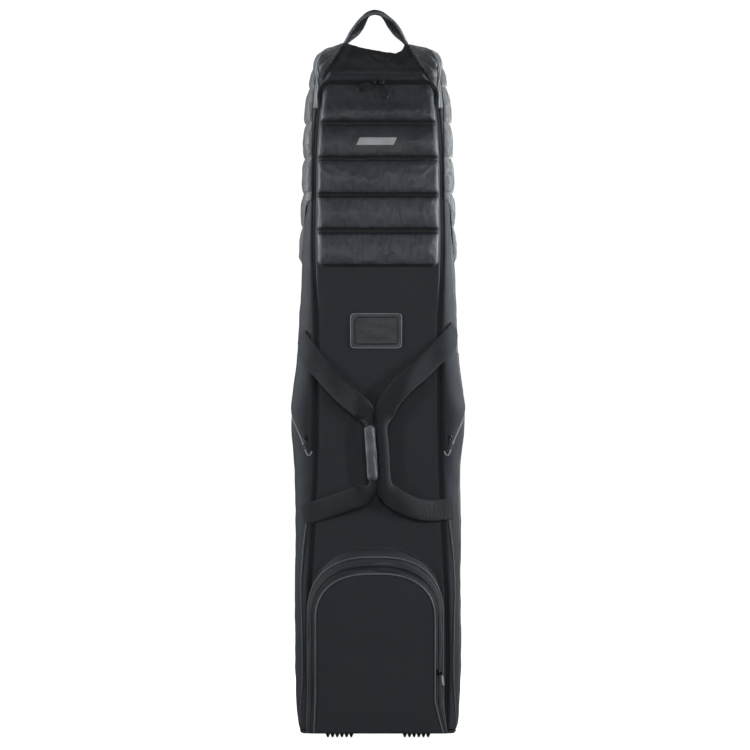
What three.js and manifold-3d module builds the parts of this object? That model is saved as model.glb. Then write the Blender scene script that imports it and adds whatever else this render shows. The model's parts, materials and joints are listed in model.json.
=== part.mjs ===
// A soft golf travel case that stands on two in-line wheels and two ribbed feet.
// Units are millimetres. +Z is up, the front faces -Y and the back +Y, and the origin is on the
// floor, at the middle of the case's footprint. "Left" is -X, as seen from the front.
//
// Sewn pieces are laid out on the unrolled skin of the body: u runs along the skin from the middle
// of the front, z is the height, and d is the distance out from the skin. onBody() rolls them up.

import * as THREE from "three";
import { mergeVertices } from "three/addons/utils/BufferGeometryUtils.js";
import Module from "manifold-3d";

const wasm = await Module();
wasm.setup();

// ---- driving dimensions ----

const DEPTH = 260; // front skin to back skin
const CORNER = 28; // radius of the four upright corners
const WALL = 5; // a panel: shell fabric, foam and lining
const GAP = 0.3; // between two pieces that touch
const BASE_Z = 12; // underside of the base plate
const BASE_THICK = 4;
const EAVE_Z = 1146; // seam between the panels and the hood
const FOLD_Z = 805; // crease that the upper front flap folds down at
const ZIP_TOP = 1194; // middle line of the zip over the flap
const ZIP_HALF = 8; // from the middle line of the zip to the panel edge
const CHANNEL_LOW = 856; // lowest quilting seam
const CHANNEL_PITCH = 65.5;
const CHANNELS = 5;
const FRONT_SHIFT = 20.75; // centres the whole case, pocket to wheels, on the origin

// Half the body's width at each height, and half the flap's width between its zips.
const HALF_WIDTH = [
  [12, 146], [45, 149], [250, 151], [520, 149], [720, 145], [880, 137],
  [1040, 131], [1120, 128], [1170, 124], [1214, 118], [1244, 110],
];
const ZIP_LINE = [[0, 121], [300, 120], [800, 115], [1052, 112.5], [1146, 108], [1194, 101]];

const FRONT_Y = -DEPTH / 2;
const BACK_Y = DEPTH / 2;
const PANEL_FOOT = BASE_Z + BASE_THICK + GAP;

// ---- materials ----

function material(hex, roughness, metalness = 0) {
  return new THREE.MeshStandardMaterial({ color: hex, roughness, metalness });
}
const SHELL_FABRIC = material(0x2b2d32, 0.85);
const QUILT_FABRIC = material(0x42454a, 0.55);
const WEBBING = material(0x2a2c30, 0.8);
const GRIP_FABRIC = material(0x6b7078, 0.6);
const ZIP_TAPE = material(0x15161a, 0.7);
const MOULDED = material(0x17181b, 0.5);
const URETHANE = material(0x1c1c1e, 0.45);
const STEEL = material(0xa9acb2, 0.3, 1);
const VINYL = material(0x3a3d42, 0.25);
const LABEL = material(0xd9dadc, 0.7);

// ---- helpers: solids, lofts and the unrolled body ----

const travelCase = new THREE.Group();
travelCase.position.y = FRONT_SHIFT;

function add(name, geometry, look, parent = travelCase) {
  const mesh = new THREE.Mesh(geometry, look);
  mesh.name = name;
  parent.add(mesh);
  return mesh;
}

function solidOf(geometry) {
  const bare = geometry.index ? geometry.toNonIndexed() : geometry.clone();
  bare.deleteAttribute("normal");
  bare.deleteAttribute("uv");
  const merged = mergeVertices(bare, 1e-4);
  return new wasm.Manifold(
    new wasm.Mesh({
      numProp: 3,
      vertProperties: merged.attributes.position.array,
      triVerts: new Uint32Array(merged.index.array),
    }),
  );
}

function geometryOf(solid) {
  const mesh = solid.getMesh();
  const geometry = new THREE.BufferGeometry();
  geometry.setAttribute("position", new THREE.BufferAttribute(mesh.vertProperties, 3));
  geometry.setIndex(new THREE.BufferAttribute(mesh.triVerts, 1));
  return geometry;
}

function cut(geometry, ...tools) {
  return geometryOf(tools.reduce((solid, tool) => solid.subtract(solidOf(tool)), solidOf(geometry)));
}

function join(geometry, ...others) {
  return geometryOf(others.reduce((solid, other) => solid.add(solidOf(other)), solidOf(geometry)));
}

// A box from its lowest corner to its highest one.
function block(low, high) {
  const size = high.map((value, i) => value - low[i]);
  const middle = high.map((value, i) => (value + low[i]) / 2);
  return new THREE.BoxGeometry(...size).translate(...middle);
}

// The value at z of a table of [z, value] rows, straight between rows.
function along(table, z) {
  const next = table.findIndex((row) => row[0] >= z);
  if (next === 0) return table[0][1];
  if (next < 0) return table[table.length - 1][1];
  const [low, high] = [table[next - 1], table[next]];
  return THREE.MathUtils.mapLinear(z, low[0], high[0], low[1], high[1]);
}

const halfWidth = (z) => along(HALF_WIDTH, z);
const zipLine = (z) => along(ZIP_LINE, z);

// Where the point (u, z, d) of the unrolled skin lies on the body.
function bodyPoint(u, z, d) {
  const side = Math.sign(u) || 1;
  const flat = halfWidth(z) - CORNER;
  const quarter = (Math.PI * CORNER) / 2;
  const past = Math.abs(u) - flat;
  if (past <= 0) return new THREE.Vector3(u, FRONT_Y - d, z);
  if (past <= quarter) {
    const angle = past / CORNER;
    return new THREE.Vector3(
      side * (flat + (CORNER + d) * Math.sin(angle)),
      FRONT_Y + CORNER - (CORNER + d) * Math.cos(angle),
      z,
    );
  }
  const upright = DEPTH - 2 * CORNER;
  const alongSide = past - quarter;
  if (alongSide <= upright) {
    return new THREE.Vector3(side * (halfWidth(z) + d), FRONT_Y + CORNER + alongSide, z);
  }
  const angle = Math.min((alongSide - upright) / CORNER, Math.PI / 2);
  const alongBack = Math.max(0, alongSide - upright - quarter);
  return new THREE.Vector3(
    side * (flat + (CORNER + d) * Math.cos(angle) - alongBack),
    BACK_Y - CORNER + (CORNER + d) * Math.sin(angle),
    z,
  );
}

// Distances along the skin, at height z, to the end of the front corner and of the side.
const cornerEnd = (z) => halfWidth(z) - CORNER + (Math.PI * CORNER) / 2;
const sideEnd = (z) => cornerEnd(z) + DEPTH - 2 * CORNER;

function warp(geometry, place) {
  const position = geometry.getAttribute("position");
  const point = new THREE.Vector3();
  for (let i = 0; i < position.count; i++) {
    point.fromBufferAttribute(position, i);
    const moved = place(point);
    position.setXYZ(i, moved.x, moved.y, moved.z);
  }
  geometry.deleteAttribute("normal");
  geometry.deleteAttribute("uv");
  return geometry;
}

// An outline drawn in u and z, made thick outwards from d, and rolled onto the body.
function onBody(points, d, thick) {
  const drawn = new THREE.ExtrudeGeometry(new THREE.Shape(points), { depth: thick, bevelEnabled: false });
  return warp(drawn, (p) => bodyPoint(p.x, p.y, d + p.z));
}

// A wall on the right half of the skin. It runs through stations, each [u(z), columns since the one
// before], and has its own inner and outer distance at each share s across it and each height z.
function skinWall({ stations, low, high, inner, outer, up }) {
  const columns = stations.reduce((sum, station) => sum + station[1], 0);
  const uAt = (column, z) => {
    let done = 0;
    for (let i = 1; i < stations.length; i++) {
      const [end, count] = stations[i];
      if (column <= done + count + 1e-6) {
        return THREE.MathUtils.lerp(stations[i - 1][0](z), end(z), (column - done) / count);
      }
      done += count;
    }
    return stations[stations.length - 1][0](z);
  };
  return warp(new THREE.BoxGeometry(1, 1, 1, columns, up, 1), (p) => {
    const share = p.x + 0.5;
    const foot = typeof low === "function" ? low(share) : low;
    const z = THREE.MathUtils.lerp(foot, high, p.y + 0.5);
    return bodyPoint(uAt(share * columns, z), z, p.z > 0 ? outer(share, z) : inner(share, z));
  });
}

// The same piece on the other side of the case.
function mirrored(geometry) {
  const flipped = mergeVertices(geometry.clone().scale(-1, 1, 1), 1e-4);
  const index = flipped.index.array;
  for (let i = 0; i < index.length; i += 3) [index[i], index[i + 1]] = [index[i + 1], index[i]];
  return flipped;
}

function addBothSides(name, geometry, look) {
  add(`left_${name}`, mirrored(geometry), look);
  add(`right_${name}`, geometry, look);
}

// The outline of an inverted U, from its left foot over to its right foot.
function archPoints({ half, foot, top, radius, middle = 0 }, grow = 0) {
  const bend = radius + grow;
  const crown = top + grow - bend;
  const uprights = Math.max(1, Math.ceil((crown - foot) / 90));
  const turns = 6;
  const points = [];
  for (let i = 0; i <= uprights; i++) {
    const z = THREE.MathUtils.lerp(foot, crown, i / uprights);
    points.push(new THREE.Vector2(-half(z) - grow, z));
  }
  for (let i = 1; i <= turns; i++) {
    const angle = (i / turns) * (Math.PI / 2);
    const x = -half(crown) - grow + bend * (1 - Math.cos(angle));
    points.push(new THREE.Vector2(x, crown + bend * Math.sin(angle)));
  }
  const right = points.map((p) => new THREE.Vector2(-p.x, p.y)).reverse();
  return [...points, ...right].map((p) => new THREE.Vector2(p.x + middle, p.y));
}

// The strip between two offsets of an inverted U.
function archBand(arch, innerGrow, outerGrow) {
  return [...archPoints(arch, outerGrow), ...archPoints(arch, innerGrow).reverse()];
}

// A band that follows a path drawn in a plane. width(share) is its width in that plane, and
// place(point, layer) puts a point of it in space, with layer 0 on its inner face and 1 on its outer.
function ribbon(path, [count, across], width, place) {
  return warp(new THREE.BoxGeometry(1, 1, 1, count, across, 1), (p) => {
    const share = THREE.MathUtils.clamp(p.x + 0.5, 0, 1);
    const tangent = path.getTangentAt(share);
    const side = new THREE.Vector2(-tangent.y, tangent.x).multiplyScalar(width(share) * p.y);
    return place(path.getPointAt(share).add(side), p.z + 0.5);
  });
}

// A rounded rectangle seen from above, anticlockwise, as a ring of points at height z(x).
function planRing(half, front, back, radius, height) {
  const corners = [
    [half - radius, front + radius, -90], [half - radius, back - radius, 0],
    [-half + radius, back - radius, 90], [-half + radius, front + radius, 180],
  ];
  const turns = 4;
  const ring = [];
  for (const [x, y, start] of corners) {
    for (let i = 0; i <= turns; i++) {
      const angle = THREE.MathUtils.degToRad(start + (90 * i) / turns);
      const px = x + radius * Math.cos(angle);
      ring.push(new THREE.Vector3(px, y + radius * Math.sin(angle), height(px)));
    }
  }
  return ring;
}

// A closed body through rings of equal length, each anticlockwise as seen from the last one.
function loft(rings) {
  const count = rings[0].length;
  const position = rings.flat().flatMap((p) => [p.x, p.y, p.z]);
  const index = [];
  for (let r = 0; r + 1 < rings.length; r++) {
    for (let i = 0; i < count; i++) {
      const next = (i + 1) % count;
      const [a, b] = [r * count + i, r * count + next];
      index.push(a, b, b + count, a, b + count, a + count);
    }
  }
  const last = (rings.length - 1) * count;
  for (let i = 1; i + 1 < count; i++) {
    index.push(0, i + 1, i);
    index.push(last, last + i, last + i + 1);
  }
  const geometry = new THREE.BufferGeometry();
  geometry.setAttribute("position", new THREE.Float32BufferAttribute(position, 3));
  geometry.setIndex(index);
  return geometry;
}

// A profile of [radius, x] points that closes on itself, turned about an axle along X.
function turned(profile, segments = 24) {
  const points = [...profile, profile[0]].map(([radius, x]) => new THREE.Vector2(radius, x));
  return new THREE.LatheGeometry(points, segments).rotateZ(-Math.PI / 2);
}

const sideName = (side) => (side < 0 ? "left" : "right");

// ---- wheels, axles and their housings ----

const WHEEL = { radius: 36, width: 24, x: 112, y: 104 };
const HOUSING = { inner: 14.5, wall: 4, front: -44, back: 30, top: 80 };

const housingOut = HOUSING.inner + HOUSING.wall;
const housingRoom = block(
  [WHEEL.x - housingOut - GAP, WHEEL.y + HOUSING.front - GAP, 0],
  [WHEEL.x + housingOut + GAP, BACK_Y + 20, HOUSING.top + GAP],
);
const bothHousingRooms = [housingRoom, housingRoom.clone().translate(-2 * WHEEL.x, 0, 0)];

function tyre() {
  const [rim, outer, half] = [24, WHEEL.radius, WHEEL.width / 2];
  return turned([[rim, -9], [29, -half], [33, -9], [outer, -3], [outer, 3], [33, 9], [29, half], [rim, 9]]);
}

function hub() {
  const [seat, core, rim] = [11 + GAP, 9, 24 - GAP];
  return turned([[seat, -10], [rim, -9], [rim, 9], [seat, 10], [seat, 3 - GAP], [core, 3 - GAP],
    [core, -3 + GAP], [seat, -3 + GAP]]);
}

function bearing() {
  return turned([[4 + GAP, 3], [11, 3], [11, 10], [4 + GAP, 10]], 20);
}

// The axle bolt: its head outside the outer cheek, its nut inside the inner one.
function axleBolt() {
  const cheek = housingOut + GAP;
  return turned([[0, -cheek - 5], [6.5, -cheek - 5], [6.5, -cheek], [4, -cheek], [4, cheek],
    [7, cheek], [7, cheek + 3], [0, cheek + 3]], 16);
}

function wheelHousing() {
  const { inner, wall, front, back, top } = HOUSING;
  const shell = block([-housingOut, front, BASE_Z - WHEEL.radius], [housingOut, back, top - WHEEL.radius]);
  const room = block([-inner, front + wall, -WHEEL.radius], [inner, back + 1, top - wall - WHEEL.radius]);
  const hole = new THREE.CylinderGeometry(4 + GAP, 4 + GAP, 60, 20).rotateZ(Math.PI / 2);
  return cut(shell, room, hole);
}

for (const side of [-1, 1]) {
  const name = sideName(side);
  const axle = new THREE.Group();
  axle.position.set(side * WHEEL.x, WHEEL.y, WHEEL.radius);
  travelCase.add(axle);
  add(`${name}_wheel_tyre`, tyre(), URETHANE, axle);
  add(`${name}_wheel_hub`, hub(), MOULDED, axle);
  add(`${name}_outer_bearing`, bearing(), STEEL, axle);
  add(`${name}_inner_bearing`, bearing().rotateZ(Math.PI), STEEL, axle);
  const bolt = add(`${name}_axle_bolt`, axleBolt(), STEEL, axle);
  bolt.rotation.z = side < 0 ? Math.PI : 0;
  add(`${name}_wheel_housing`, wheelHousing(), MOULDED, axle);
}

// ---- base, feet and back skids ----

function basePlate() {
  const inset = 5;
  const ring = (z, shrink) => planRing(
    halfWidth(z) - shrink, FRONT_Y + shrink, BACK_Y - shrink, CORNER - shrink, () => z);
  return cut(loft([ring(BASE_Z, inset), ring(BASE_Z + BASE_THICK, 0)]), ...bothHousingRooms);
}
add("base_plate", basePlate(), MOULDED);

// The stiffening board that lies on the base plate, inside the panels.
function baseBoard() {
  const inset = WALL + 1;
  const ring = (z) => planRing(
    halfWidth(PANEL_FOOT) - inset, FRONT_Y + inset, BACK_Y - inset, CORNER - inset, () => z);
  return cut(loft([ring(PANEL_FOOT), ring(PANEL_FOOT + 3)]), ...bothHousingRooms);
}
add("base_board", baseBoard(), MOULDED);

// A moulded foot: a plate with ribs that run front to back and end in sharp ridges.
function ribbedFoot() {
  const [pitch, ribs, ridge] = [8.5, 6, 7];
  const half = (pitch * ribs) / 2;
  const points = [new THREE.Vector2(half, BASE_Z - GAP), new THREE.Vector2(-half, BASE_Z - GAP)];
  for (let i = 0; i < ribs; i++) {
    const left = -half + i * pitch;
    points.push(new THREE.Vector2(left, ridge));
    points.push(new THREE.Vector2(left + pitch * 0.35, 0), new THREE.Vector2(left + pitch * 0.65, 0));
  }
  points.push(new THREE.Vector2(half, ridge));
  const length = 42;
  const drawn = new THREE.ExtrudeGeometry(new THREE.Shape(points), { depth: length, bevelEnabled: false });
  return drawn.rotateX(Math.PI / 2).translate(0, length / 2, 0);
}
for (const side of [-1, 1]) {
  const foot = add(`${sideName(side)}_front_foot`, ribbedFoot(), MOULDED);
  foot.position.set(side * 70, FRONT_Y + 34, 0);
}

// The moulded skid plate over the foot of the back, with three upright ribs.
function skidPlate() {
  const [half, low, high, round, thick] = [88, 20, 200, 36, 3];
  const outline = archPoints({ half: () => half, foot: low, top: high, radius: round });
  const drawn = new THREE.ExtrudeGeometry(new THREE.Shape(outline), { depth: thick, bevelEnabled: false });
  const plate = drawn.rotateX(Math.PI / 2).translate(0, BACK_Y + GAP + thick, 0);
  const ribs = [-52, 0, 52].map((x) =>
    block([x - 6, BACK_Y + GAP + thick - 1, low + 14], [x + 6, BACK_Y + GAP + 8, high - 30]));
  return join(plate, ...ribs);
}
add("skid_plate", skidPlate(), MOULDED);

function skidRail() {
  const [half, length, height] = [9, 540, 8];
  const outline = new THREE.Shape();
  outline.moveTo(-half, half);
  outline.lineTo(-half, length - half);
  outline.absarc(0, length - half, half, Math.PI, 0, true);
  outline.lineTo(half, half);
  outline.absarc(0, half, half, 0, -Math.PI, true);
  return new THREE.ExtrudeGeometry(outline, {
    depth: height - 2, bevelEnabled: true, bevelThickness: 2, bevelSize: 2, bevelOffset: -2,
    bevelSegments: 1, curveSegments: 5,
  }).rotateX(Math.PI / 2).translate(0, BACK_Y + GAP + height, 225);
}
for (const side of [-1, 1]) {
  add(`${sideName(side)}_skid_rail`, skidRail(), MOULDED).position.x = side * 62;
}

// ---- body panels ----

const BACK_SEAM = 12; // how far the side panels reach round onto the back

const nearZip = (away) => (z) => zipLine(z) + ZIP_HALF + away;
const backReach = (z) => sideEnd(z) + (Math.PI * CORNER) / 2 + BACK_SEAM;

const sidePanel = skinWall({
  stations: [[nearZip(0), 0], [cornerEnd, 5], [sideEnd, 2], [backReach, 6]],
  low: PANEL_FOOT, high: EAVE_Z, inner: () => -WALL, outer: () => 0, up: 12,
});
addBothSides("side_panel", cut(sidePanel, housingRoom), SHELL_FABRIC);

function backPanel() {
  const grid = new THREE.BoxGeometry(1, WALL, EAVE_Z - PANEL_FOOT, 1, 1, 12);
  grid.translate(0, BACK_Y - WALL / 2, (EAVE_Z + PANEL_FOOT) / 2);
  const half = (z) => halfWidth(z) - CORNER - BACK_SEAM - GAP;
  return cut(warp(grid, (p) => new THREE.Vector3(p.x * 2 * half(p.z), p.y, p.z)), ...bothHousingRooms);
}
add("back_panel", backPanel(), SHELL_FABRIC);

const flapArch = { half: zipLine, foot: FOLD_Z + GAP, top: ZIP_TOP, radius: 26 };

function lowerFrontPanel() {
  const heights = [PANEL_FOOT, 300, FOLD_Z - GAP];
  const edge = heights.map((z) => new THREE.Vector2(zipLine(z) - ZIP_HALF, z));
  const other = edge.map((p) => new THREE.Vector2(-p.x, p.y)).reverse();
  return onBody([...edge, ...other], -WALL, WALL);
}
add("lower_front_panel", lowerFrontPanel(), SHELL_FABRIC);
add("upper_front_panel", onBody(archPoints(flapArch, -ZIP_HALF), -WALL, WALL), SHELL_FABRIC);

// The hood: a padded cap with a tented roof whose ridge runs left to right and sags in its middle.
// Each level of its wall is [height, set back at the front, set back at the back].
const HOOD_LEVELS = [[EAVE_Z, 0, 0], [1180, 1, 0], [1214, 12, 2], [1244, 26, 8]];
const RIDGE = { half: 60, z: 1268, sag: 14, y: 0 };

function hoodRing([z, front, back], inset, height) {
  return planRing(halfWidth(z) - inset, FRONT_Y + front + inset, BACK_Y - back - inset,
    CORNER - inset, () => height);
}

function hood() {
  const ridge = (x) => RIDGE.z - RIDGE.sag * (1 - (x / RIDGE.half) ** 2);
  const outer = loft([
    hoodRing(HOOD_LEVELS[0], 0, EAVE_Z + GAP),
    ...HOOD_LEVELS.slice(1).map((level) => hoodRing(level, 0, level[0])),
    planRing(RIDGE.half, RIDGE.y - 3, RIDGE.y + 3, 2.5, ridge),
  ]);
  const inner = loft([
    hoodRing(HOOD_LEVELS[0], WALL, EAVE_Z - 1),
    hoodRing(HOOD_LEVELS[1], WALL, HOOD_LEVELS[1][0]),
    hoodRing(HOOD_LEVELS[2], WALL, HOOD_LEVELS[2][0]),
    hoodRing(HOOD_LEVELS[3], 10, HOOD_LEVELS[3][0] - 9),
  ]);
  const mouth = new THREE.ExtrudeGeometry(
    new THREE.Shape(archPoints({ ...flapArch, foot: EAVE_Z - 5 }, ZIP_HALF + GAP)),
    { depth: 60, bevelEnabled: false },
  ).rotateX(Math.PI / 2).translate(0, FRONT_Y + 45, 0);
  return cut(outer, inner, mouth);
}
add("hood", hood(), SHELL_FABRIC);

// ---- quilted pads and the blank label ----

// How far a quilted channel stands out at height z: from the seam up to the crown.
function channelRise(z, seamRise, crownRise) {
  const share = (((z - CHANNEL_LOW) / CHANNEL_PITCH) % 1 + 1) % 1;
  return seamRise + (crownRise - seamRise) * Math.sqrt(Math.max(0, 1 - (2 * share - 1) ** 4));
}

const QUILT_TOP = CHANNEL_LOW + CHANNELS * CHANNEL_PITCH;

function frontQuilt() {
  const margin = 5;
  return warp(new THREE.BoxGeometry(2, 1, 1, 1, 35, 1), (p) => {
    const z = THREE.MathUtils.lerp(CHANNEL_LOW + 1, QUILT_TOP, p.y + 0.5);
    const half = zipLine(z) - ZIP_HALF - margin;
    return new THREE.Vector3(p.x * half, FRONT_Y - (p.z > 0 ? channelRise(z, 3, 14) : GAP), z);
  });
}
add("front_quilt_pad", frontQuilt(), QUILT_FABRIC);

// The side quilt starts high at the front corner and reaches lower towards the back.
const sideQuilt = skinWall({
  stations: [[nearZip(8), 0], [cornerEnd, 4], [(z) => sideEnd(z) - 6, 3]],
  low: (share) => THREE.MathUtils.lerp(985, CHANNEL_LOW + 10, Math.min(1, share * 1.4)),
  high: EAVE_Z - 2, inner: () => GAP, outer: (share, z) => channelRise(z, 2, 7), up: 18,
});
addBothSides("quilt_pad", sideQuilt, QUILT_FABRIC);

function labelPatch() {
  const [half, height, middle] = [34, 14, CHANNEL_LOW + 3.5 * CHANNEL_PITCH];
  return block([-half, FRONT_Y - 15.3, middle - height / 2], [half, FRONT_Y - 14.3, middle + height / 2]);
}
add("label_patch", labelPatch(), LABEL);

// ---- main zip ----

const TAPE = { d: -4, thick: 2.5, half: ZIP_HALF - 1 };

add("zip_flap_half", onBody(archBand(flapArch, -TAPE.half, -GAP / 2), TAPE.d, TAPE.thick), ZIP_TAPE);
add("zip_hood_half", onBody(archBand(flapArch, GAP / 2, TAPE.half), TAPE.d, TAPE.thick), ZIP_TAPE);

function lowerZip() {
  const { half } = TAPE;
  const heights = [PANEL_FOOT + 14, 300, 550, FOLD_Z - GAP];
  const inner = heights.map((z) => new THREE.Vector2(zipLine(z) - half, z)).reverse();
  const outer = heights.map((z) => new THREE.Vector2(zipLine(z) + half, z));
  return onBody([...outer, ...inner], TAPE.d, TAPE.thick);
}
addBothSides("lower_zip", lowerZip(), ZIP_TAPE);

// A slider body with the bridge that its pull hangs from. It stands out along -Y from y = 0.
function slider(width, height) {
  const body = block([-width / 2, -5, -height / 2], [width / 2, -1.2, height / 2]);
  const bridge = block([-1.5, -8, -height / 3], [1.5, -4.5, height / 3]);
  return join(body, bridge);
}

// A flat pull with a hole near its end. It hangs down from the origin, out along -Y by its thickness.
function pull(width, length, thick) {
  const plate = new THREE.Shape();
  plate.moveTo(-width * 0.3, 0);
  plate.lineTo(-width / 2, -length + width / 2);
  plate.absarc(0, -length + width / 2, width / 2, Math.PI, 2 * Math.PI, false);
  plate.lineTo(width * 0.3, 0);
  const hole = new THREE.Path().absarc(0, -length + width / 2, width * 0.22, 0, 2 * Math.PI, true);
  plate.holes.push(hole);
  return new THREE.ExtrudeGeometry(plate, { depth: thick, bevelEnabled: false, curveSegments: 6 })
    .rotateX(Math.PI / 2);
}

// Places a slider, and the pull hung on it with a lean outwards, at a point of the skin.
function addSlider(name, { x, y, z, turn = 0, lean = 0, size, pullSize }) {
  const seat = new THREE.Group();
  seat.position.set(x, y, z);
  seat.rotation.z = turn;
  travelCase.add(seat);
  add(`${name}_slider`, slider(...size), STEEL, seat);
  const hung = add(`${name}_pull`, pull(...pullSize), MOULDED, seat);
  hung.position.set(0, -8 - GAP, 0);
  hung.rotation.x = -lean;
}

for (const side of [-1, 1]) {
  addSlider(`main_${sideName(side)}`, {
    x: side * 7.5, y: FRONT_Y, z: ZIP_TOP, lean: 0.35, size: [12, 10], pullSize: [12, 30, 2],
  });
}

// ---- front pocket ----

const POCKET = { middle: -5, foot: 20, fold: 111, panel: 3.5, wall: 3.5 };
const POCKET_RINGS = [ // distance out, half width, top and corner radius of each level
  { d: GAP, half: 117, top: 346, radius: 96 },
  { d: 20, half: 118, top: 330, radius: 88 },
  { d: 48, half: 104, top: 301, radius: 74 },
];
const POCKET_FACE = 48;

function pocketRing({ half, top, radius }, d, grow) {
  const arch = { half: () => half, foot: POCKET.foot - grow, top, radius, middle: POCKET.middle };
  return archPoints(arch, grow).map((p) => new THREE.Vector3(p.x, FRONT_Y - d, p.y)).reverse();
}

const pocketLoft = (grow, levels) => loft(levels.map((level) => pocketRing(level, level.d, grow)));

function pocketGusset() {
  const levels = POCKET_RINGS;
  const past = [{ ...levels[0], d: -1 }, ...levels.slice(0, 3), { ...levels[2], d: POCKET_FACE + 1 }];
  return cut(pocketLoft(0, levels), pocketLoft(-POCKET.wall, past));
}
add("front_pocket_gusset", pocketGusset(), SHELL_FABRIC);

function pocketPanel(low, high) {
  const level = POCKET_RINGS[2];
  const face = POCKET_FACE + GAP;
  const whole = loft([pocketRing(level, face, 0), pocketRing(level, face + POCKET.panel, 0)]);
  const wide = 200;
  return cut(whole, block([-wide, -wide, high], [wide, 0, 400]), block([-wide, -wide, -1], [wide, 0, low]));
}
add("front_pocket_flap", pocketPanel(POCKET.fold + GAP, 399), SHELL_FABRIC);
add("front_pocket_lower_panel", pocketPanel(0, POCKET.fold - GAP), SHELL_FABRIC);

// The pocket's zip: a raised band round the sloping side of the pocket, next to its face.
function pocketZip() {
  const between = (share) => ({
    d: THREE.MathUtils.lerp(20, 48, share),
    half: THREE.MathUtils.lerp(118, 104, share),
    top: THREE.MathUtils.lerp(330, 301, share),
    radius: THREE.MathUtils.lerp(88, 74, share),
  });
  const ring = (share, grow) => pocketRing(between(share), between(share).d, grow);
  const body = loft([ring(0.58, 2), ring(0.93, 2)]);
  const core = loft([ring(0.4, GAP), ring(1.1, GAP)]);
  return cut(body, core, block([-200, -300, -10], [200, 0, POCKET.fold - 2]));
}
add("front_pocket_zip", pocketZip(), ZIP_TAPE);

const pocketSlope = Math.atan2(14, 28);
addSlider("front_pocket", {
  x: POCKET.middle + 113.6, y: FRONT_Y - 39.4, z: POCKET.fold + 10, turn: Math.PI / 2 - pocketSlope,
  size: [9, 11], pullSize: [7, 24, 1.4],
});

// ---- side pockets ----

const SIDE_POCKET = { front: 10, width: 132, top: 690, foot: 514, rise: 110, bulge: 10, wall: 2.5 };

// The lower edge sweeps up from the front corner towards the back.
const sidePocketFoot = (share) => SIDE_POCKET.foot + 14 + SIDE_POCKET.rise * share ** 1.6;

function sidePocketBulge(share, z) {
  const foot = sidePocketFoot(share);
  const up = THREE.MathUtils.clamp((z - foot) / (SIDE_POCKET.top - foot), 0, 1);
  const swell = (t) => Math.min(1, 3 * Math.sin(Math.PI * t));
  return SIDE_POCKET.bulge * swell(share) * swell(up);
}

const sidePocket = skinWall({
  stations: [[nearZip(SIDE_POCKET.front), 0], [cornerEnd, 3], [nearZip(SIDE_POCKET.width), 7]],
  low: sidePocketFoot, high: SIDE_POCKET.top,
  inner: (share, z) => Math.max(GAP, sidePocketBulge(share, z) - SIDE_POCKET.wall + 1.5),
  outer: (share, z) => sidePocketBulge(share, z) + 1.5, up: 10,
});
addBothSides("side_pocket", sidePocket, SHELL_FABRIC);

// Its zip stands along the front edge, with the slider near its foot.
const POCKET_TAPE = { near: 1, far: 8, low: SIDE_POCKET.foot + 6 };
addBothSides("side_pocket_zip", skinWall({
  stations: [[nearZip(POCKET_TAPE.near), 0], [nearZip(POCKET_TAPE.far), 2]],
  low: POCKET_TAPE.low, high: SIDE_POCKET.top, inner: () => GAP, outer: () => 1.8, up: 3,
}), ZIP_TAPE);

for (const side of [-1, 1]) {
  const z = POCKET_TAPE.low + 26;
  const u = nearZip((POCKET_TAPE.near + POCKET_TAPE.far) / 2)(z);
  const seat = bodyPoint(side * u, z, 1.2);
  addSlider(`${sideName(side)}_side_pocket`, {
    x: seat.x, y: seat.y, z, turn: (side * (u - halfWidth(z) + CORNER)) / CORNER,
    size: [7, 10], pullSize: [6, 20, 1.4],
  });
}

// ---- card window ----

function cardWindow() {
  const [middle, half, low, high, border] = [-3.5, 47.5, 708, 773, 8];
  const frame = block([middle - half, FRONT_Y - 2, low], [middle + half, FRONT_Y - GAP, high]);
  const pane = block(
    [middle - half + border, FRONT_Y - 3, low + border],
    [middle + half - border, FRONT_Y - 1, high - border]);
  return cut(frame, pane);
}
add("card_window", cardWindow(), VINYL);

// ---- carrying handles ----

const STRAP = { wide: 38, thick: 2.5, standOff: 30, anchor: 150, upper: 728, lower: 408 };

// How far a strap stands off the skin: nothing at the seam, the full stand-off at the grip.
function strapLift(u) {
  return STRAP.standOff * THREE.MathUtils.smoothstep(STRAP.anchor - Math.abs(u), 0, STRAP.anchor - 32);
}

// A webbing loop from its upper seam to its grip bar and back to its lower seam.
function strapLoop(side, bar, gathered) {
  const path = new THREE.Path();
  path.moveTo(side * STRAP.anchor, STRAP.upper);
  path.lineTo(bar.top[0] + side * 34, bar.top[1] + 52);
  path.quadraticCurveTo(bar.top[0] + side * 2, bar.top[1] + 24, ...bar.top);
  path.lineTo(...bar.foot);
  path.quadraticCurveTo(bar.foot[0] + side, bar.foot[1] - 22, bar.foot[0] + side * 36, bar.foot[1] - 30);
  path.lineTo(side * (STRAP.anchor - 13), STRAP.lower);
  const full = (share) => THREE.MathUtils.smoothstep(Math.abs(share - 0.52), 0.17, 0.3);
  const width = (share) => THREE.MathUtils.lerp(gathered, STRAP.wide, full(share));
  return ribbon(path, [40, 4], width, (point, layer) =>
    bodyPoint(point.x, point.y, 1 + STRAP.thick * layer + strapLift(point.x)));
}

const LEFT_BAR = { top: [-16, 568], foot: [-8.5, 464] };
const RIGHT_BAR = { top: [0.5, 568], foot: [6.5, 464] };
add("left_handle_strap", strapLoop(-1, LEFT_BAR, 13), WEBBING);
add("right_handle_strap", strapLoop(1, RIGHT_BAR, 9), WEBBING);

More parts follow.
